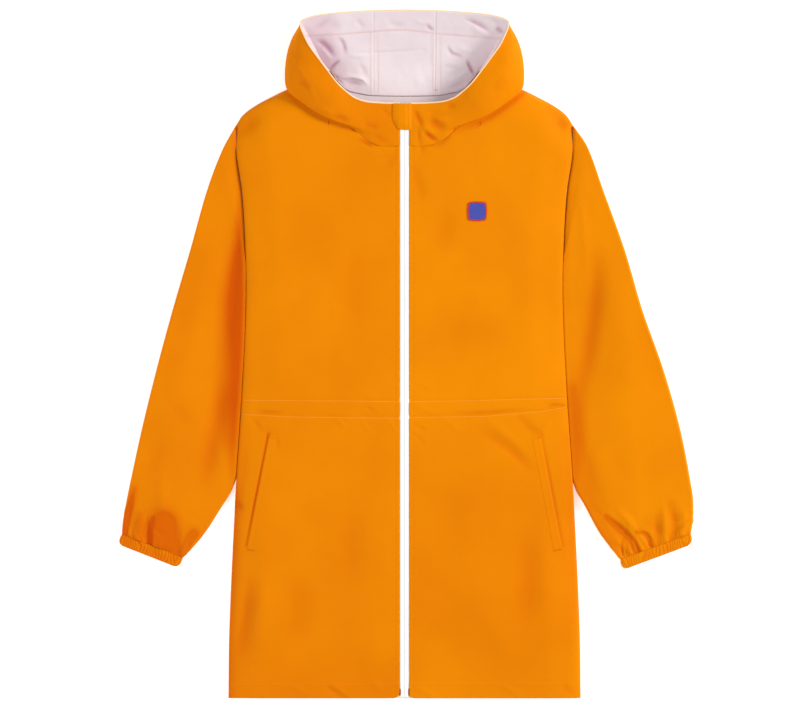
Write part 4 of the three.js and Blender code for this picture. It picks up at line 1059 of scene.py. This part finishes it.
def threadPiece(name, lines, look, material, slot, *nodes):  # lines are lists of points in millimetres
    mesh = bpy.data.meshes.new(name + "Lines")
    edges, first = [], 0
    for line in lines:
        edges += [(first + i, first + i + 1) for i in range(len(line) - 1)]
        first += len(line)
    mesh.from_pydata((np.concatenate(lines) * mm).tolist(), edges, [])
    piece = linked(name, mesh)
    grow = piece.modifiers.new("threads", "NODES")
    grow.node_group = threads
    for part in ("pitch", "length", "thickness"):
        grow[sockets[part.capitalize()]] = look[part] * mm
    grow[sockets["Turn"]], grow[sockets["Uneven"]] = look.get("turn", 0.0), look.get("uneven", 0.12)
    grow[sockets["Thread"]] = material
    grown = bpy.data.meshes.new_from_object(piece.evaluated_get(bpy.context.evaluated_depsgraph_get()))
    piece.modifiers.remove(grow)
    piece.data = grown
    bpy.data.meshes.remove(mesh)
    return declared(piece, slot, *nodes)


def threadMaterial(name, light, deep, rough):
    material, tree = emptyMaterial(name)
    place = addNode(tree, "ShaderNodeTexCoord").outputs["Object"]
    fleck = addNode(tree, "ShaderNodeTexNoise", {"Vector": place, "Scale": 900, "Detail": 2}).outputs["Fac"]
    tone = twoTones(tree, fleck, {"light": light, "deep": deep})
    bump = addNode(tree, "ShaderNodeBump", {"Height": fleck, "Strength": 0.4, "Distance": 0.0002})
    shader = addNode(tree, "ShaderNodeBsdfPrincipled", {
        "Base Color": tone, "Roughness": rough, "Normal": bump.outputs["Normal"], "Specular IOR Level": 0.3})
    addNode(tree, "ShaderNodeOutputMaterial", {"Surface": shader.outputs["BSDF"]})
    return material


orangeThread = threadMaterial("orangeThread", (250, 154, 14), (240, 142, 6), 0.5)
# lighter than the other orange thread: thread, and a painted highlight along the waist seams
waistThreadHighlight = threadMaterial("waistThreadHighlight", (255, 178, 74), (252, 164, 50), 0.5)
peachThread = threadMaterial("peachThread", (255, 196, 146), (244, 168, 112), 0.5)
redThread = threadMaterial("redThread", (222, 62, 66), (196, 40, 50), 0.45)
blueThread = threadMaterial("blueThread", (84, 92, 186), (62, 70, 160), 0.45)
whitePlastic = threadMaterial("whitePlastic", (250, 250, 248), (240, 240, 238), 0.35)
rustPlastic = threadMaterial("rustPlastic", (176, 86, 22), (146, 64, 16), 0.4)


def onFront(side, x, y, lift):  # points just above a front, on its own side of the zip
    x, y = np.broadcast_arrays(np.asarray(x, float), np.asarray(y, float))
    return stacked(x, y, frontTop(side, x, y) + lift)


# Zip: two tapes that meet in the middle, their coils below, and an end tab beside each front's hem.
zipper = {
    "halfGap": 0.05, "edge": 19, "top": 352, "under": 0.6, "cloth": 0.9, "rows": 220, "columns": 16,
    "dip": 0.03, "dipWide": 1.2, "crown": 1.35, "crownEdge": 5.6, "crownEase": 2.4, "outside": (6, 0.1),
    "rise": [(-488, 0), (298, 0), (305, 0.7), (312, 1.4), (327, 3), (342, 3.4), (357, 3.7)],  # by y
    "coil": {"pitch": 1.7, "length": 3.4, "thickness": 1.1, "turn": 1.3, "uneven": 0, "top": 320, "from": 1.9,
             "drop": 1.7},
    "tab": {"half": (2.8, 6.8), "x": 5.0, "y": -479.5, "rise": 1.3, "roundness": 0.9, "lift": 0.05},
}


def zipHeight(y):  # top face of the tapes
    return frontUnder(body["frontEdge"], y) + atHeight(zipper["rise"], y) - zipper["under"]


zipY = np.linspace(body["hem"], zipper["top"], zipper["rows"])[:, None]
across = np.linspace(zipper["halfGap"], zipper["edge"], zipper["columns"])
outsideFrom, outsideDrop = zipper["outside"]
height = zipHeight(zipY) + zipper["dip"] * ditch(across, zipper["dipWide"])
height -= outsideDrop * (across > outsideFrom)
height += zipper["crown"] * (1 - ease((across - zipper["crownEdge"]) / zipper["crownEase"]))
tapeTop = stacked(across, zipY, height)
tapeUnder = tapeTop - np.array([0, 0, zipper["cloth"]])
for side, sign in sides.items():
    tape = clothWall("zipTape" + side.capitalize(), tapeTop, tapeUnder, sign=sign)
    finished(tape, zipTape, "zip_white", "zip_tape_" + side)
coil = zipper["coil"]
coilY = zipY[zipY < coil["top"]]
coilLines = [stacked(sign * coil["from"], coilY, zipHeight(coilY) - coil["drop"]) for sign in (-1, 1)]
threadPiece("zipCoil", coilLines, coil, whitePlastic, "coil_white", "zip_coil")
for node in ("zip_slider", "zip_pull"):
    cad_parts[node].data.materials.clear()
    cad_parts[node].data.materials.append(whitePlastic)


# Pad with rounded corners: roundness 0 is a rectangle, 1 an ellipse.
def padPlace(middle, half, roundness, u, v):
    x = middle[0] + half[0] * u * np.sqrt(1 - roundness * v * v / 2)
    return x, middle[1] + half[1] * v * np.sqrt(1 - roundness * u * u / 2)


def pad(name, middle, half, roundness, under, rise, count=26):
    u, v = np.meshgrid(np.linspace(-1, 1, count), np.linspace(-1, 1, count))
    x, y = padPlace(middle, half, roundness, u, v)
    low = under(x, y)
    edge = np.minimum(1 - np.abs(u), 1 - np.abs(v)) * min(half)
    return clothWall(name, stacked(x, y, low + mix(0.3, 1, rounded(edge, 2)) * rise), stacked(x, y, low))


tab = zipper["tab"]
for side, sign in sides.items():
    tabShape = (sign * tab["x"], tab["y"]), tab["half"], tab["roundness"]
    onTape = lambda x, y: zipHeight(y) + tab["lift"]
    tabPiece = pad("zipEndTab" + side.capitalize(), *tabShape, onTape, tab["rise"])
    finished(tabPiece, rustPlastic, "rust", "zip_end_tab_" + side)
print("zip made")

# Chest patch: plain embroidered square with rounded corners and an overlocked border.
patch = {
    "middle": (103, 204), "half": (13.6, 13.6), "roundness": 0.42, "rise": 0.9, "lift": 0.02,
    "border": {"pitch": 0.85, "length": 2.9, "thickness": 1.15, "turn": quarterTurn, "inside": 0.9,
               "points": 24},
    "filling": {"pitch": 3.2, "length": 3.4, "thickness": 0.55, "uneven": 0.1, "half": 0.84, "rows": 26,
                "points": 12},
}
patchShape = patch["middle"], patch["half"], patch["roundness"]
onChest = lambda x, y: frontTop("left", x, y) + patch["lift"]
patchPiece = pad("chestPatch", *patchShape, onChest, patch["rise"])
finished(patchPiece, blueThread, "patch_blue", "chest_patch")


def patchLine(u, v):
    return onFront("left", *padPlace(*patchShape, u, v), patch["rise"])


border, filling = patch["border"], patch["filling"]
edge = 1 - border["inside"] / patch["half"][0]
run, still = np.linspace(-edge, edge, border["points"]), np.full(border["points"], edge)
borderLines = [patchLine(u, v) for u, v in ((run, -still), (still, run), (-run, still), (-still, -run))]
threadPiece("patchBorder", borderLines, border, redThread, "patch_blue")
fillX, fillY = (np.linspace(-1, 1, filling[count]) * filling["half"] for count in ("points", "rows"))
fillLines = [patchLine(fillX, 0 * fillX + v) for v in fillY]
threadPiece("patchStitches", fillLines, filling, blueThread, "patch_blue")
print("patch made")

# Slanted pocket welts, low at their sewn inner edge and open along the outer one.
welt = {
    "top": (193.5, -117), "bottom": (224, -276), "width": 12, "slant": 0.2, "length": 160, "endRound": 6,
    "lip": {"left": 0.28, "right": 0.5}, "lipRound": 1.6, "lipEase": 0.55, "foot": 0.01, "lift": (0.01, 0.05),
    "rows": 90, "columns": 16,
}


def weltPlace(down, inward):  # down is a share of its length, inward a distance from its open edge
    x = mix(welt["top"][0], welt["bottom"][0], down) - inward
    return x, mix(welt["top"][1], welt["bottom"][1], down) - welt["slant"] * inward


down, inward = np.linspace(0, 1, welt["rows"])[:, None], np.linspace(0, 1, welt["columns"])
topEnd, bottomEnd = (rounded(share * welt["length"], welt["endRound"]) for share in (down, 1 - down))
lip = rounded(inward * welt["width"], welt["lipRound"]) * (1 - ease(inward / welt["lipEase"]))
foot = welt["foot"] * (1 - ease((inward - 0.8) / 0.2))
x, y = weltPlace(down, inward * welt["width"])
for side, sign in sides.items():
    onCloth, (low, high) = frontTop(side, x, y), welt["lift"]
    top = stacked(x, y, onCloth + foot + high + welt["lip"][side] * lip * (topEnd * bottomEnd))
    # the welt takes the front's painted shade at its place
    under, paintedDarkening = stacked(x, y, onCloth + low), np.clip(paintedSideShade(side, x, y), 0, 1)
    piece = clothWall("pocketWelt" + side.capitalize(), top, under, hollow=paintedDarkening, sign=sign)
    finished(piece, shellCloth, "shell", "pocket_welt_" + side)

# Chin guard: a rounded tab from the wearer's left over the top of the zip.
chin = {
    "fromX": -17, "toX": 11.5, "top": 356.6, "bottom": 319.5, "cut": 14, "cutWidth": 9, "lean": 0.12,
    "over": 0.9, "left": 0.5, "leftEase": 10, "crown": 2.6, "crownEase": 12, "cloth": 1.1,
    "edge": 1.6, "edgeDrop": 0.8,
    "sewnFrom": 7, "sewnEase": 4.5, "sewnDrop": 0.9, "seams": (4.6, 10.4), "groove": 0.55, "grooveWide": 0.8,
    "columns": 46, "rows": 46, "hoodFrom": 298, "seamEnds": (2, 1), "seamPoints": 30,
}
x = np.linspace(chin["fromX"], chin["toX"], chin["columns"])[:, None]
corner = chin["cut"] * np.clip((chin["fromX"] + chin["cutWidth"] - x) / chin["cutWidth"], 0, 1) ** 1.3
bottom = chin["bottom"] + corner - np.minimum(x, 0) * chin["lean"]
y = mix(chin["top"], bottom, np.linspace(0, 1, chin["rows"]))
hoodEdge = hoodGrids["left"][0]
inHood = hoodEdge[hoodEdge[:, 1] > chin["hoodFrom"]][::-1]
height = np.interp(y, inHood[:, 1], inHood[:, 2]) + chin["over"] + chin["left"] * ease(-x / chin["leftEase"])
crown = (1 - (np.minimum(x, 0) / chin["fromX"]) ** 2) * (1 - ease(x / chin["toX"]))
height += chin["crown"] * crown * ease((y - bottom + 2) / chin["crownEase"])
inside = np.minimum(np.minimum(x - chin["fromX"], (y - bottom) * 0.8), chin["top"] - y + 1)
height -= chin["edgeDrop"] * (1 - rounded(inside + 0.1, chin["edge"]))
height -= chin["sewnDrop"] * ease((x - chin["sewnFrom"]) / chin["sewnEase"])
height += chin["groove"] * sum(ditch(x - seam, chin["grooveWide"]) for seam in chin["seams"])
chinTop = stacked(x, y, height)
chinPiece = clothWall("chinGuard", chinTop, chinTop - np.array([0, 0, chin["cloth"]]))
finished(chinPiece, shellCloth, "shell", "chin_guard")
print("welts and chin guard made")

# Rows of stitches.
stitches = {
    "plain": {"pitch": 3.1, "length": 2.3, "thickness": 0.5},
    "waist": {"pitch": 3.4, "length": 3.1, "thickness": 0.8},
    "tack": {"pitch": 0.6, "length": 1.7, "thickness": 0.4, "turn": quarterTurn},
    "lift": 0.12, "facing": 31, "facingFrom": 14, "hemEnds": 3, "hemPoints": 120,
    "zipEnds": (8, 294), "zipPoints": 300,
    "waistEnds": (2, 4), "tacks": ((0.0, 3), (1.0, welt["width"])), "tackLift": 0.5, "tackPoints": 14,
    "cuffRows": (2, 13), "cuffLift": 0.2, "cuffEnds": 6, "cuffStep": 4, "chinLift": 0.15,
    "backEnds": 8, "backPoints": 200, "backEdge": 4, "neckTack": (42.5, 47, 377),
    "neckTackPoints": 8, "near": 2.4, "waistAt": -75,
}
lift, hemY = stitches["lift"], body["hem"] + front["hem"]["height"]


def alongGrid(grid, distance, rise):  # a line at a distance along the cloth from its first column
    lines = [[np.interp(distance, lengthsAlong(row), row[:, k]) for k in range(3)] for row in grid]
    return np.array(lines) + np.array([0, 0, rise])


orangeLines, waistLines, tackLines = [], [], []
for side, sign in sides.items():
    hemEnds = body["frontEdge"] + stitches["hemEnds"], body["side"][0][1] - stitches["hemEnds"]
    hemX = np.linspace(*hemEnds, stitches["hemPoints"])
    orangeLines.append(turned(onFront(side, hemX, hemY, lift), sign))
    nearZip, nearSide = stitches["waistEnds"]
    waistEnds = body["frontEdge"] + nearZip, bodyHalf(stitches["waistAt"]) - nearSide
    waistX = np.linspace(*waistEnds, stitches["hemPoints"])
    waistLines += [turned(onFront(side, waistX, line, lift), sign) for line in channelLines(side, waistX)]
    aboveHem, zipTop = stitches["zipEnds"]
    edgeY = np.linspace(body["hem"] + aboveHem, zipTop, stitches["zipPoints"])
    edgeX = body["frontEdge"] + front["zipEdge"]["inside"]
    orangeLines.append(turned(onFront(side, edgeX, edgeY, lift), sign))
    for end, reach in stitches["tacks"]:
        tackPlaces = weltPlace(end, np.linspace(0, reach, stitches["tackPoints"]))
        tackLines.append(turned(onFront(side, *tackPlaces, stitches["tackLift"]), sign))
    facing = hoodGrids[side][stitches["facingFrom"]::2]
    orangeLines.append(turned(alongGrid(facing, stitches["facing"], lift), sign))
    for row in stitches["cuffRows"]:
        ends = stitches["cuffEnds"]
        onCuff = cuffGrids[side][row, ends:cuff["topColumns"] - ends:stitches["cuffStep"]]
        orangeLines.append(turned(onCuff + np.array([0, 0, stitches["cuffLift"]]), sign))
for x in chin["seams"]:
    aboveBottom, belowTop = chin["seamEnds"]
    seamY = np.linspace(chin["bottom"] + aboveBottom, chin["top"] - belowTop, chin["seamPoints"])
    column = chinTop[np.argmin(np.abs(chinTop[:, 0, 0] - x)), ::-1]
    orangeLines.append(stacked(x, seamY, np.interp(seamY, column[:, 1], column[:, 2]) + stitches["chinLift"]))
backHalf = body["side"][0][1] - stitches["backEnds"]
acrossBack = np.linspace(-backHalf, backHalf, stitches["backPoints"])
for y in [0 * acrossBack + hemY] + channelLines("left", np.abs(acrossBack)):
    keep = np.abs(acrossBack) < bodyHalf(y) - stitches["backEdge"]
    orangeLines.append(stacked(acrossBack, y, backFace(acrossBack, y) - lift)[keep])

# Peach stitches on the lining: its facing, the seams of its middle panel and the neck seam.
liningPoints = np.concatenate(liningFaces)


def onLining(x, y):  # points on the lining's upper face
    x, y = np.broadcast_arrays(np.asarray(x, float), np.asarray(y, float))
    apart = [np.hypot(liningPoints[:, 0] - a, liningPoints[:, 1] - b) for a, b in zip(x, y)]
    heights = np.array([liningPoints[gap < stitches["near"], 2].max(initial=0) for gap in apart])
    return stacked(x, y, heights + lift)


facingX, facingY = alongLine(facingFold["path"], lining["facingPoints"]).T
peachLines = [onLining(facingX, facingY)]
for x in lining["seams"]:
    top = np.interp(x, facingX, facingY) - lining["belowFacing"]
    peachLines.append(onLining(x, np.linspace(lining["seamBottom"], top, lining["seamPoints"])))
threadPiece("peachStitches", peachLines, stitches["plain"], peachThread, "lining")
fromX, toX, tackY = stitches["neckTack"]
neckTack = onLining(np.linspace(fromX, toX, stitches["neckTackPoints"]), tackY)
threadPiece("neckTack", [neckTack], stitches["tack"], peachThread, "lining")
threadPiece("orangeStitches", orangeLines, stitches["plain"], orangeThread, "shell")
threadPiece("waistStitches", waistLines, stitches["waist"], waistThreadHighlight, "shell")
threadPiece("pocketTacks", tackLines, stitches["tack"], orangeThread, "shell")
print("stitches made")

studio = {
    "floor": 3.2, "below": 0.0004, "distance": 7, "viewWidth": 1.136, "sensor": 36, "clip": 50,
    "middle": (-0.0064, -0.0036), "middleHeight": 0.017, "world": 0.49,
    "paper": {"Base Color": colour(250, 250, 250), "Roughness": 0.9, "Emission Color": (1, 1, 1, 1),
              "Emission Strength": 0.42},
    "lights": [
        {"name": "key", "at": (4.3, 1.7, 2.5), "size": 1.5, "power": 218, "tint": (1, 0.985, 0.96)},
        {"name": "fill", "at": (-2.4, -1.2, 2.2), "size": 2.4, "power": 52, "tint": (1, 1, 1)},
    ],
}
floorMesh = bpy.data.meshes.new("floor")
half, low = studio["floor"], -studio["below"]
floorMesh.from_pydata([(-half, -half, low), (half, -half, low), (half, half, low), (-half, half, low)], [],
                      [(0, 1, 2, 3)])
paper = bpy.data.materials.new("palePaper")
paper.use_nodes = True
for name, value in studio["paper"].items():
    paper.node_tree.nodes["Principled BSDF"].inputs[name].default_value = value
floorMesh.materials.append(paper)
linked("floor", floorMesh)
for light in studio["lights"]:
    lamp = bpy.data.lights.new(light["name"], "AREA")
    lamp.size, lamp.energy, lamp.color = light["size"], light["power"], light["tint"]
    lampObject = linked(light["name"], lamp)
    lampObject.location = light["at"]
    lampObject.rotation_euler = (-lampObject.location).to_track_quat("-Z", "Y").to_euler()
world = bpy.data.worlds.new("softRoom")
world.use_nodes = True
world.node_tree.nodes["Background"].inputs["Color"].default_value = (1, 1, 1, 1)
world.node_tree.nodes["Background"].inputs["Strength"].default_value = studio["world"]
scene.world = world
scene.view_settings.view_transform = "Standard"

lens = bpy.data.cameras.new("camera")
lens.sensor_width = studio["sensor"]
lens.lens = studio["sensor"] * (studio["distance"] - studio["middleHeight"]) / studio["viewWidth"]
lens.clip_end = studio["clip"]
scene.camera = linked("camera", lens)
scene.camera.location = studio["middle"] + (studio["distance"],)

print("stage made")
